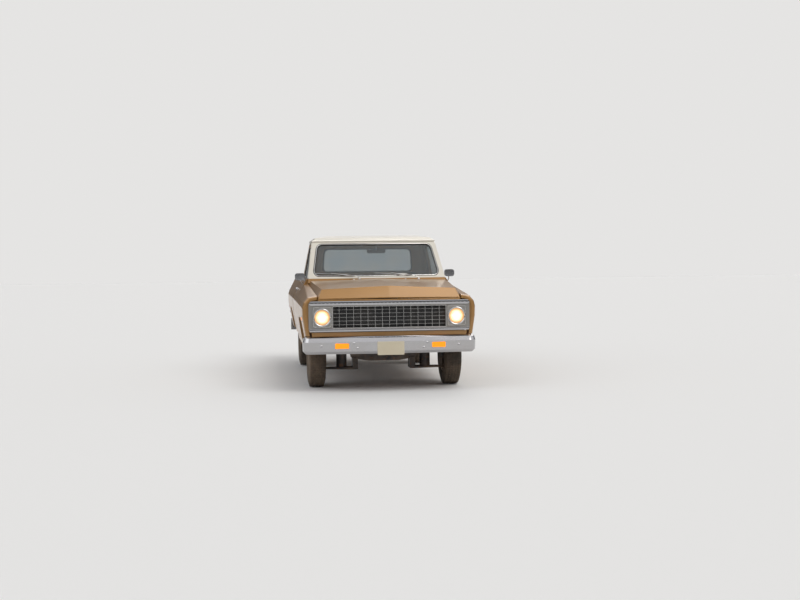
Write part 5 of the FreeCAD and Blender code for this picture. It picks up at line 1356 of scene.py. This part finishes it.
def makeBedFloor():
    sizes = {"front": 2.840, "rear": 4.700, "half": 0.628, "planks": 8, "top": 0.7375, "bolts": 6,
             "sides": ((2.840, 3.305), (4.230, 4.700))}
    pitch = 2 * sizes["half"] / sizes["planks"]
    long, first = sizes["rear"] - sizes["front"], -sizes["half"]
    middle = (sizes["front"] + sizes["rear"]) / 2
    floor = Piece("bed_floor", root, "body_paint", "bedWood")
    plank = part("bedWood").box((-pitch / 2 + 0.004, -long / 2, -0.0022), (pitch / 2 - 0.004, long / 2, 0.006), 0.002)
    floor.repeat(plank, sizes["planks"], (pitch, 0, 0), at(first + pitch / 2, middle, sizes["top"]))
    section = flat(*even((0.016, -0.001), (0.014, 0.0018), (0.006, 0.0032)))
    strip = part("steelStrip").slab(section, "XZ", bodyY - long / 2, bodyY + long / 2, 0)
    floor.use("steelStrip").repeat(strip, sizes["planks"] + 1, (pitch, 0, 0), at(first, middle, sizes["top"] + 0.0062))
    bolt = part("steelStrip")
    bolt.lathe((0, 0, 0), upward, [(0, -0.001), (0.0085, -0.001), (0.0075, 0.0022), (0.004, 0.0034), (0, 0.0037)], 12)
    row = repeated(bolt, sizes["planks"] + 1, (pitch, 0, 0))
    for k in range(sizes["bolts"]):
        station = sizes["front"] + 0.05 + k * (long - 0.1) / (sizes["bolts"] - 1)
        floor.add(row.copy(), at(first, station, sizes["top"] + 0.0092))
    bpy.data.meshes.remove(row)
    floor.use("bedWood")
    for side in (1, -1):
        a, b = sorted((side * 0.646, side * 0.792))
        for low, high in sizes["sides"]:
            floor.box(at(a, low, sizes["top"] - 0.002), at(b, high, sizes["top"] + 0.006), 0.002)
    floor.finish()


def makeBedWalls():
    sizes = {"inner": 0.7995, "rail": 1.2155, "front": 2.836, "rear": 4.712, "ribs": 11, "pitch": 0.142,
             "panels": (3.16, 3.77, 4.39), "halves": (0.26, 0.29, 0.27), "posts": (2.885, 3.45, 4.09, 4.67),
             "pockets": (2.905, 3.74, 4.62)}
    walls = Piece("bed_walls", root, "body_paint", "bodyPaint")
    outline = flat((-0.028, -0.001), (0.028, -0.001), (0.020, 0.009, 0.004), (-0.020, 0.009, 0.004))
    rib = part("bodyPaint").slab(outline, "XY", -0.20, 0.20, 0.004)
    walls.repeat(rib, sizes["ribs"], (sizes["pitch"], 0, 0), Vector((-0.71, sizes["front"] - 0.0005, 0.968)))
    for side in (1, -1):
        x = side * sizes["inner"]
        for station, half in zip(sizes["panels"], sizes["halves"]):
            walls.slab(oblong(station, 1.1025, half, 0.0475, 0.02), "YZ", *sorted((x, x - side * 0.005)), 0.003)
        for station in sizes["posts"]:
            walls.slab(oblong(station, 1.0525, 0.022, 0.1475, 0.006), "YZ", *sorted((x, x - side * 0.008)), 0.004)
        lip = [at(side * 0.812, s, sizes["rail"]) for s in (sizes["front"] - 0.02, sizes["rear"] + 0.02)]
        walls.ribbon(lip, even((0.010, -0.002), (0.009, 0.0025)))
        # near-black slabs in the stake pockets: painted shade for the holes' depth
        walls.use("grilleDark")
        for station in sizes["pockets"]:
            walls.slab(oblong(side * 0.834, station, 0.017, 0.032, 0.003), "XY", sizes["rail"] - 0.0015,
                       sizes["rail"] - 0.0001, 0)
        walls.use("bodyPaint")
        for station in sizes["pockets"]:
            rim = [at(p.x, p.y, sizes["rail"]) for p in oblong(side * 0.834, station, 0.0195, 0.0345)]
            walls.ribbon(rim, even((0.003, -0.001), (0.002, 0.0016)), upward, True)
    walls.ribbon([at(x, 2.8150, sizes["rail"]) for x in (-0.79, 0.79)], even((0.018, -0.001), (0.014, 0.004)))
    walls.finish()


def makeTailgateDress():
    sizes = {"outer": 4.7675, "inner": 4.7215, "bars": (0.800, 0.845, 1.150), "ribs": 6, "rise": 0.068, "side": 0.735}
    outer, inner = sizes["outer"], sizes["inner"]
    gate = Piece("tailgate_dress", "tail_gate", "body_paint", "bodyPaint")
    panel = [at(p.x, outer, p.y) for p in oblong(0, 0.995, 0.66, 0.090, 0.03)]
    gate.ribbon(panel, even((0.010, -0.001), (0.005, 0.0045)), backward, True)
    for z in sizes["bars"]:
        gate.slab(oblong(0, z, 0.70, 0.011, 0.008), "XZ", outer - 0.001, outer + 0.0045, 0.003)
    rib = part("bodyPaint").slab(oblong(0, 0, 0.66, 0.013, 0.009), "XZ", bodyY - 0.0045, bodyY + 0.001, 0.003)
    gate.repeat(rib, sizes["ribs"], (0, 0, sizes["rise"]), at(0, inner, 0.82))
    gate.box(at(-0.085, inner - 0.0035, 1.172), at(0.085, inner + 0.001, 1.207), 0.003)
    handle = flat((-0.062, 1.180, 0.006), (0.062, 1.180, 0.006), (0.055, 1.199, 0.006), (-0.055, 1.199, 0.006))
    gate.use("chrome").slab(handle, "XZ", inner - 0.013, inner - 0.002, 0.004).use("steelStrip")
    for side in (1, -1):
        x = side * sizes["side"]
        for z in (1.135, 1.165):
            gate.lathe(at(x, inner + 0.0005, z), forward, [(0, 0), (0.007, 0), (0.006, 0.003), (0, 0.0035)], 6)
        gate.box(at(x - 0.014, inner - 0.003, 1.120), at(x + 0.014, inner + 0.0005, 1.180), 0.001)
    gate.finish()


def makeTailLamps():
    sizes = {"x": 0.9393, "wide": 0.034, "middle": 0.865, "tall": 0.163, "bars": (0.812, 0.752), "flutes": 22,
             "pitch": 0.0092, "screws": (0.715, 1.018)}
    frameEdge = [(-0.005, -0.004), (0.004, -0.004), (0.004, 0.002), (0.0, 0.004), (-0.005, 0.002)]
    lamps = Piece("tail_lamp_dress", root, "red_lens", "chrome")
    for side in (1, -1):
        x = side * sizes["x"]
        face = surfaceHit("tail_lamps", at(x, 6.5, 0.9), forward).y + bodyY
        rim = rimPath(x, sizes["middle"], sizes["wide"], sizes["tall"], 0.012, face)
        lamps.use("chrome").ribbon(rim, frameEdge, backward, True)
        for z in sizes["bars"]:
            bar = route((x - 0.033, face, z), (x + 0.033, face, z))
            lamps.ribbon(bar, even((0.003, -0.002), (0.002, 0.003)), backward)
        lamps.use("whiteLens").box(at(x - 0.0305, face - 0.001, 0.7555), at(x + 0.0305, face + 0.0022, 0.8085), 0.002)
        flute = part("redLens").box((-0.0295, -0.0008, -0.0032), (0.0295, 0.0016, 0.0032), 0.0013, 1)
        lamps.use("redLens").repeat(flute, sizes["flutes"], (0, 0, sizes["pitch"]), at(x, face, 0.822))
        lamps.use("chrome")
        for z in sizes["screws"]:
            lamps.lathe(at(x, face + 0.001, z), backward, [(0, 0), (0.0045, 0), (0.004, 0.0022), (0, 0.003)], 14)
    lamps.finish()


def makeRearBumperDress():
    sizes = {"treads": ((-0.90, 38), (0.31, 38), (-0.215, 27)), "pitch": 0.016, "station": 4.8375,
             "bolts": ((0.375, 0.50), (0.375, 0.57), (0.80, 0.53)), "lamp": (0.20, 0.53)}
    fit = Piece("rear_bumper_dress", root, "chrome", "sealRubber")
    for start, count in sizes["treads"]:
        top = surfaceHit("rear_bumper", at(start + 0.1, 4.835, 2.0), (0, 0, -1))
        tread = part("sealRubber").box((-0.003, -0.030, -0.001), (0.003, 0.030, 0.003), 0.001, 1)
        fit.repeat(tread, count, (sizes["pitch"], 0, 0), at(start, sizes["station"], top.z))
    for side in (1, -1):
        fit.use("chrome")
        for x, z in sizes["bolts"]:
            fit.lathe(surfaceHit("rear_bumper", at(side * x, 6.5, z), forward), backward, boltHead, 24)
        x, z = sizes["lamp"]
        spot = surfaceHit("rear_bumper", at(side * x, 6.5, z), forward)
        fit.box(spot + Vector((-0.022, -0.002, -0.012)), spot + Vector((0.022, 0.010, 0.022)), 0.004)
        fit.use("whiteLens").box(spot + Vector((-0.017, 0, -0.0155)), spot + Vector((0.017, 0.0085, -0.0115)), 0.002)
    fit.finish()


def makeFuelCap():
    sizes = {"station": 2.672, "z": (1.085, 1.095), "collar": 0.044, "cap": 0.035, "grip": 0.026}
    spot, above = [beside("cab_shell", 1, sizes["station"], z) for z in sizes["z"]]
    out = Vector((0.01, 0, spot.x - above.x)).normalized()
    rise = out.cross(Vector(backward)).normalized()
    cap = Piece("fuel_cap", root, "chrome", "sealRubber")
    r = sizes["collar"]
    cap.lathe(spot - out * 0.002, out, [(0, 0), (r, 0), (r, 0.003), (r - 0.004, 0.0045), (0, 0.0045)], 44)
    r = sizes["cap"]
    cap.use("chrome").lathe(spot, out, [(0, 0.002), (r, 0.002), (r + 0.0005, 0.010), (r - 0.003, 0.0145),
                                        (r - 0.015, 0.0165), (0, 0.017)], 44)
    grip = [spot + out * (0.019 - 0.002 * abs(k)) + rise * sizes["grip"] * k for k in (-1, 0, 1)]
    cap.ribbon(grip, even((0.006, -0.003), (0.004, 0.005)), out)
    cap.finish()


def makeArchLips():  # rolled edges round the wheel openings, found on the metal itself
    sizes = {"front": 0.845, "rear": 3.766, "least": 0.9, "grow": 1.006, "lift": 0.004}
    arch = ((-0.4465, 0.40, 0), (-0.432, 0.620, 0.26), (-0.262, 0.826, 0.19), (0.262, 0.826, 0.19),
            (0.432, 0.620, 0.26), (0.4465, 0.40, 0))
    section = [(-0.0045, -0.004), (0.0045, -0.004), (0.004, 0.0018), (0.0, 0.003), (-0.004, 0.0018)]
    for name, node in (("front", "front_fenders"), ("rear", "bed_sides")):
        spots = [(Vector((sizes[name] + a * sizes["grow"], z + (sizes["lift"] if soft else 0), 0)), soft)
                 for a, z, soft in arch]
        outline = roundOff(spots, 10, False)
        lips = Piece("arch_lips_" + name, root, "body_paint", "bodyPaint")
        for side in (1, -1):
            path = [beside(node, side, p.x, p.y) for p in outline]
            path = [p for p in path if p and abs(p.x) > sizes["least"]]
            lips.ribbon(path, section, (side, 0, 0))
        lips.finish()


makeBedFloor()
makeBedWalls()
makeTailgateDress()
makeTailLamps()
makeRearBumperDress()
makeFuelCap()
makeArchLips()

print("engine bay and underside")


def makeEngineDress():
    sizes = {"ports": 4, "tilt": math.radians(38), "cover": (0.185, 0.800, 0.936), "cleaner": (0.812, 1.026),
             "pulleys": ((0, 0.640, 0.078), (0, 0.830, 0.062), (0.205, 0.905, 0.036), (-0.175, 0.830, 0.030)),
             "belt": ((-0.078, 0.645), (-0.062, 0.84), (-0.03, 0.885), (0.0, 0.893), (0.19, 0.938), (0.225, 0.935),
                      (0.240, 0.900), (0.225, 0.875), (0.075, 0.60), (0.03, 0.567), (-0.03, 0.567), (-0.07, 0.605))}
    engine = Piece("engine_dress", root, "engine_iron", "engineIron")
    for side in (1, -1):
        x, s, z = sizes["cover"]
        turn = Matrix.Translation(at(side * x, s, z)) @ Matrix.Rotation(side * sizes["tilt"], 4, "Y")
        away = turn.to_3x3()
        engine.use("engineIron").box((-0.062, -0.255, -0.02), (0.062, 0.255, 0.040), 0.016, 3, turn)
        filler = [(0, 0), (0.024, 0), (0.024, 0.016), (0.019, 0.022), (0, 0.023)]
        spot = turn @ Vector((0, side * 0.16, 0.036))
        engine.use("chassisBlack").lathe(spot, away @ Vector(upward), filler, 24).use("castMetal")
        for k in range(sizes["ports"]):
            spot, way = Vector((side * 0.045, -0.21 + k * 0.14, 0.026)), Vector((side * 0.5, 0, 0.86))
            engine.lathe(turn @ spot, away @ way, [(0, 0), (0.008, 0), (0.008, 0.012), (0, 0.012)], 6)
        log = [at(side * 0.245, s, 0.815 - 0.01 * abs(s - 0.8)) for s in (0.58, 0.70, 0.80, 0.90, 1.02)]
        engine.use("exhaustSteel").tube(log, 0.026, 14)
        for k in range(sizes["ports"]):
            s = 0.60 + k * 0.135
            port = route((side * 0.196, s, 0.845), (side * 0.225, s, 0.842), (side * 0.243, s, 0.822))
            lead = route((side * 0.232, s + 0.04, 0.870), (side * 0.262, s + 0.05, 0.915),
                         (side * 0.20, s + 0.08, 0.992), (side * 0.075, 1.04, 1.012))
            engine.use("exhaustSteel").tube(port, 0.019, 12)
            engine.use("sealRubber").tube(lead, 0.0040, 8)
    engine.use("castMetal").box(at(-0.105, 0.60, 0.945), at(0.105, 1.00, 0.985), 0.014, 3)  # intake and carburettor
    engine.box(at(-0.060, 0.745, 0.980), at(0.060, 0.880, 1.030), 0.010, 3)
    centre = at(0, *sizes["cleaner"])
    engine.use("chassisBlack").lathe(centre, upward, [  # air cleaner
        (0.0, 0.0), (0.150, 0.0), (0.172, 0.006), (0.176, 0.012), (0.170, 0.016), (0.168, 0.046), (0.176, 0.050),
        (0.174, 0.057), (0.160, 0.063), (0.05, 0.067), (0, 0.0675)], 72)
    engine.tube(route((0.0, 0.655, 1.052), (0.03, 0.560, 1.050), (0.06, 0.470, 1.035)), 0.030, 20)
    nut = [(0, 0), (0.012, 0), (0.012, 0.004), (0.006, 0.012), (0, 0.0125)]
    engine.use("chrome").lathe(centre + Vector((0, 0, 0.067)), upward, nut, 6)
    distributor = [(0, 0), (0.045, 0), (0.045, 0.045), (0.038, 0.062), (0.02, 0.070), (0, 0.070)]
    engine.use("darkPlastic").lathe(at(0, 1.045, 0.955), upward, distributor, 32).use("castMetal")
    for x, z, r in sizes["pulleys"]:
        engine.lathe(at(x, 0.476, z), forward, [
            (0, 0.0), (r * 0.5, 0.0), (r * 0.55, 0.008), (r, 0.010), (r - 0.006, 0.016), (r - 0.006, 0.020), (r, 0.026),
            (r * 0.6, 0.028), (r * 0.5, 0.022), (0, 0.022)], 40)
    alternator = [(0, 0), (0.066, 0.0), (0.072, 0.012), (0.072, 0.085), (0.055, 0.105), (0, 0.105)]
    engine.lathe(at(0.205, 0.500, 0.905), backward, alternator, 36)
    belt = [at(x, 0.458, z) for x, z in sizes["belt"]]
    engine.use("sealRubber").ribbon(belt, even((0.005, -0.004), (0.005, 0.004)), forward, True)
    upper = route((0.12, 0.600, 0.975), (0.14, 0.520, 0.995), (0.20, 0.440, 0.985), (0.22, 0.386, 0.965))
    lower = route((-0.13, 0.500, 0.640), (-0.19, 0.455, 0.600), (-0.22, 0.388, 0.585))
    engine.tube(upper, 0.021, 16).tube(lower, 0.022, 16)  # hoses
    engine.finish()


def makeFan():
    sizes = {"blades": 6, "radius": 0.205, "hub": 0.030, "station": 0.4385, "shroud": 0.436, "z": 0.830}
    centre, turn = at(0, sizes["station"], sizes["z"]), 2 * math.pi / sizes["blades"]
    fan = Piece("fan", root, "cast_metal", "castMetal")
    fan.lathe(centre, forward, [(0, -0.022), (0.034, -0.022), (0.034, 0.004), (0.020, 0.014), (0, 0.015)], 28)
    rows = []
    for k in range(7):
        r = sizes["hub"] + (sizes["radius"] - sizes["hub"]) * k / 6
        wide = 0.020 + 0.028 * min(1.0, k / 4)
        rows.append([Vector(((j / 5 - 0.5) * 0.030, (j / 5 - 0.5) * wide * 2, r)) for j in range(6)])
    mesh = repeated(part("castMetal").skin(rows, (0.0016, 0, 0)), sizes["blades"], (turn, 0, 0), True)
    mesh.transform(Matrix.Rotation(math.radians(90), 4, "Z"))
    fan.add(mesh, centre)
    shroud = [(0.216, 0.0), (0.222, 0.0), (0.222, 0.030), (0.250, 0.040), (0.250, 0.044), (0.216, 0.034)]
    fan.use("chassisBlack").lathe(at(0, sizes["shroud"], sizes["z"]), forward, shroud, 56, loop=True)
    fan.finish()


def makeRadiatorDress():
    sizes = {"half": 0.29, "low": 0.66, "fins": 33, "pitch": 0.009}
    rad = Piece("radiator_dress", root, "chassis_black", "chassisBlack")
    fin = part("castMetal").box((-sizes["half"], -0.0012, -0.0018), (sizes["half"], 0.0012, 0.0018), 0, 1)
    face = surfaceHit("radiator", at(0.05, 0.2, 0.80), backward).y - 0.0008
    rad.use("castMetal").repeat(fin, sizes["fins"], (0, 0, sizes["pitch"]), Vector((0, face, sizes["low"])))
    cap = [(0, 0), (0.030, 0), (0.031, 0.006), (0.026, 0.010), (0.012, 0.012), (0, 0.012)]
    rad.use("chrome").lathe(at(-0.10, 0.352, 1.0335), upward, cap, 32)
    rad.use("chassisBlack").tube(route((-0.13, 0.350, 1.034), (-0.22, 0.370, 1.036), (-0.36, 0.372, 1.036)), 0.0045, 8)
    rad.use("castMetal").box(at(-0.012, 0.120, 1.0285), at(0.012, 0.400, 1.0335), 0.002)
    rad.use("chassisBlack").box(at(-0.05, 0.330, 1.0335), at(0.05, 0.378, 1.0405), 0.003)
    rad.finish()


def makeBayFittings():
    sizes = {"cells": 6, "cell": 0.036, "posts": ((0.500, "redLens"), (0.700, "castMetal")), "hoses": (-0.30, -0.23)}
    bay = Piece("bay_fittings", root, "chassis_black", "darkPlastic")
    bay.box(at(-0.475, 0.470, 0.800), at(-0.305, 0.730, 0.990), 0.008)  # battery
    bay.use("chassisBlack").box(at(-0.485, 0.455, 0.775), at(-0.300, 0.745, 0.802))
    bay.use("sealRubber").box(at(-0.470, 0.475, 0.989), at(-0.310, 0.725, 1.004), 0.005).use("darkPlastic")
    for k in range(sizes["cells"]):
        plug = [(0, 0), (0.011, 0), (0.010, 0.005), (0, 0.0055)]
        bay.lathe(at(-0.415, 0.510 + k * sizes["cell"], 1.003), upward, plug, 16)
    # the red post cap takes the red lens finish, whose faint emission is a painted glow
    for s, look in sizes["posts"]:
        bay.use(look).lathe(at(-0.345, s, 1.003), upward, [(0, 0), (0.012, 0), (0.011, 0.014), (0, 0.015)], 16)
        cable = route((-0.345, s, 1.012), (-0.30, s + 0.02, 1.005), (-0.27, s + 0.10, 0.90), (-0.26, s + 0.16, 0.80))
        bay.use("sealRubber").tube(cable, 0.0062, 8)
    servo = [(0, -0.006), (0.10, -0.006), (0.118, 0.012), (0.118, 0.060), (0.108, 0.082), (0.05, 0.094), (0, 0.096)]
    bay.use("chassisBlack").lathe(at(0.395, 1.345, 0.985), forward, servo, 56)
    bay.use("castMetal").box(at(0.365, 1.095, 0.965), at(0.425, 1.255, 1.010), 0.010, 3)  # brake cylinder
    bay.use("chassisBlack").box(at(0.362, 1.100, 1.008), at(0.428, 1.235, 1.024), 0.005).use("castMetal")
    for s in (1.13, 1.19):
        bay.tube(route((0.365, s, 0.985), (0.33, s, 0.96), (0.33, 1.30, 0.86), (0.34, 1.32, 0.72)), 0.0028, 8)
    bay.use("chassisBlack").box(at(-0.62, 1.205, 0.865), at(-0.17, 1.345, 1.115), 0.018, 3)  # heater
    blower = [(0, -0.004), (0.075, -0.004), (0.075, 0.018), (0.060, 0.030), (0.030, 0.060), (0, 0.062)]
    bay.lathe(at(-0.52, 1.207, 0.985), forward, blower, 36).use("sealRubber")
    for x in sizes["hoses"]:
        bay.tube(route((x, 1.210, 0.93), (x, 1.15, 0.92), (x + 0.05, 1.05, 0.93), (x + 0.11, 0.98, 0.955)), 0.012, 12)
    # the washer bottle takes the white lens finish, whose faint emission is a painted glow
    bay.use("whiteLens").box(at(0.36, 0.520, 0.850), at(0.46, 0.640, 0.985), 0.014, 3)  # washer bottle
    bay.use("darkPlastic").lathe(at(0.41, 0.580, 0.984), upward, [(0, 0), (0.024, 0), (0.024, 0.010), (0, 0.011)], 24)
    bay.finish()


def makeHoodLining():  # pressed stiffeners on the hood's inner face, and the latch
    sizes = {"latch": 0.235, "ribs": (
        ((-0.60, 1.20), (-0.30, 1.215), (0.0, 1.22), (0.30, 1.215), (0.60, 1.20)),
        ((-0.55, 0.30), (0.0, 0.285), (0.55, 0.30)),
        ((-0.50, 0.34), (-0.27, 0.62), (0.0, 0.78), (0.27, 0.62), (0.50, 0.34)),
        ((-0.52, 1.16), (-0.27, 0.95), (0.0, 0.78), (0.27, 0.95), (0.52, 1.16)),
        ((-0.60, 1.19), (-0.61, 0.75), (-0.56, 0.31)), ((0.60, 1.19), (0.61, 0.75), (0.56, 0.31)))}
    lining = Piece("hood_lining", "hood", "body_paint", "bodyPaint")

    def under(x, s):
        return surfaceHit("hood_panel", at(x, s, 0.9), upward)

    for line in sizes["ribs"]:
        spots = [(x0 + (x1 - x0) * k / 6, s0 + (s1 - s0) * k / 6)
                 for (x0, s0), (x1, s1) in zip(line, line[1:]) for k in range(6)]
        points = [under(x, s) for x, s in spots + [line[-1]]]
        lining.ribbon([p for p in points if p], even((0.030, -0.002), (0.022, 0.012)), (0, 0, -1))
    nose = under(0.0, sizes["latch"])
    lining.use("castMetal").box(nose + Vector((-0.035, -0.02, -0.024)), nose + Vector((0.035, 0.02, 0.001)))
    pin = [(0, -0.004), (0.007, -0.004), (0.007, 0.026), (0.003, 0.034), (0, 0.034)]
    lining.lathe(nose + Vector((0, 0, -0.022)), (0, 0, -1), pin, 16)
    lining.finish()


def makeUnderside():
    sizes = {"holes": 7, "pitch": 0.19, "bolts": 10, "cover": (0.112, 0.35), "clamps": (2.06, 2.38), "pipe": -0.2925}
    bush = [(0, 0), (0.024, 0), (0.026, 0.006), (0.026, 0.038), (0.024, 0.044), (0, 0.044)]
    under = Piece("underside", root, "chassis_black", "chassisBlack")
    for side in (1, -1):
        base, top = at(side * 0.52, 3.700, 0.33), at(side * 0.40, 3.560, 0.60)  # a damper
        mid = base.lerp(top, 0.52)
        under.use("chassisBlack").tube([base, mid], 0.027, 18)
        under.use("castMetal").tube([mid, top], 0.016, 14).use("sealRubber")
        for p in (base, top):
            under.lathe(p - Vector((0.022, 0, 0)), leftward, bush, 20)
        # near-black discs on the frame rails: painted shade for the holes
        hole = part("grilleDark").lathe((0, 0, 0), (side, 0, 0), [(0, 0), (0.016, 0), (0.014, 0.0012), (0, 0.0012)], 18)
        spot = surfaceHit("chassis_frame", at(side * 0.9, 2.2, 0.50), (-side, 0, 0))
        under.use("grilleDark").repeat(hole, sizes["holes"], (0, sizes["pitch"], 0), at(spot.x, 1.62, spot.z))
        line = route((side * 0.438, 1.30, 0.535), (side * 0.438, 2.1, 0.535), (side * 0.438, 3.25, 0.545))
        under.use("castMetal").tube(line, 0.0035, 8)
    radius, z = sizes["cover"]
    middle = surfaceHit("rear_axle", at(0.0, 4.6, z), forward)
    for k in range(sizes["bolts"]):
        turn = 2 * math.pi * k / sizes["bolts"]
        p = surfaceHit("rear_axle", at(radius * math.cos(turn), 4.6, z + radius * math.sin(turn)), forward)
        if p and abs(p.y - middle.y) < 0.12:
            under.lathe(p, backward, [(0, -0.001), (0.009, -0.001), (0.008, 0.006), (0, 0.007)], 6)
    under.use("exhaustSteel")
    for s in sizes["clamps"]:
        spot = surfaceHit("exhaust", at(sizes["pipe"], s, 0.1), upward)
        ring = [(0.025, 0), (0.0285, 0.001), (0.0285, 0.014), (0.025, 0.015)]
        under.lathe(at(sizes["pipe"], s, spot.z + 0.024), backward, ring, 24, loop=True)
    under.finish()


makeEngineDress()
makeFan()
makeRadiatorDress()
makeBayFittings()
makeHoodLining()
makeUnderside()

bpy.context.view_layer.update()
print("done")
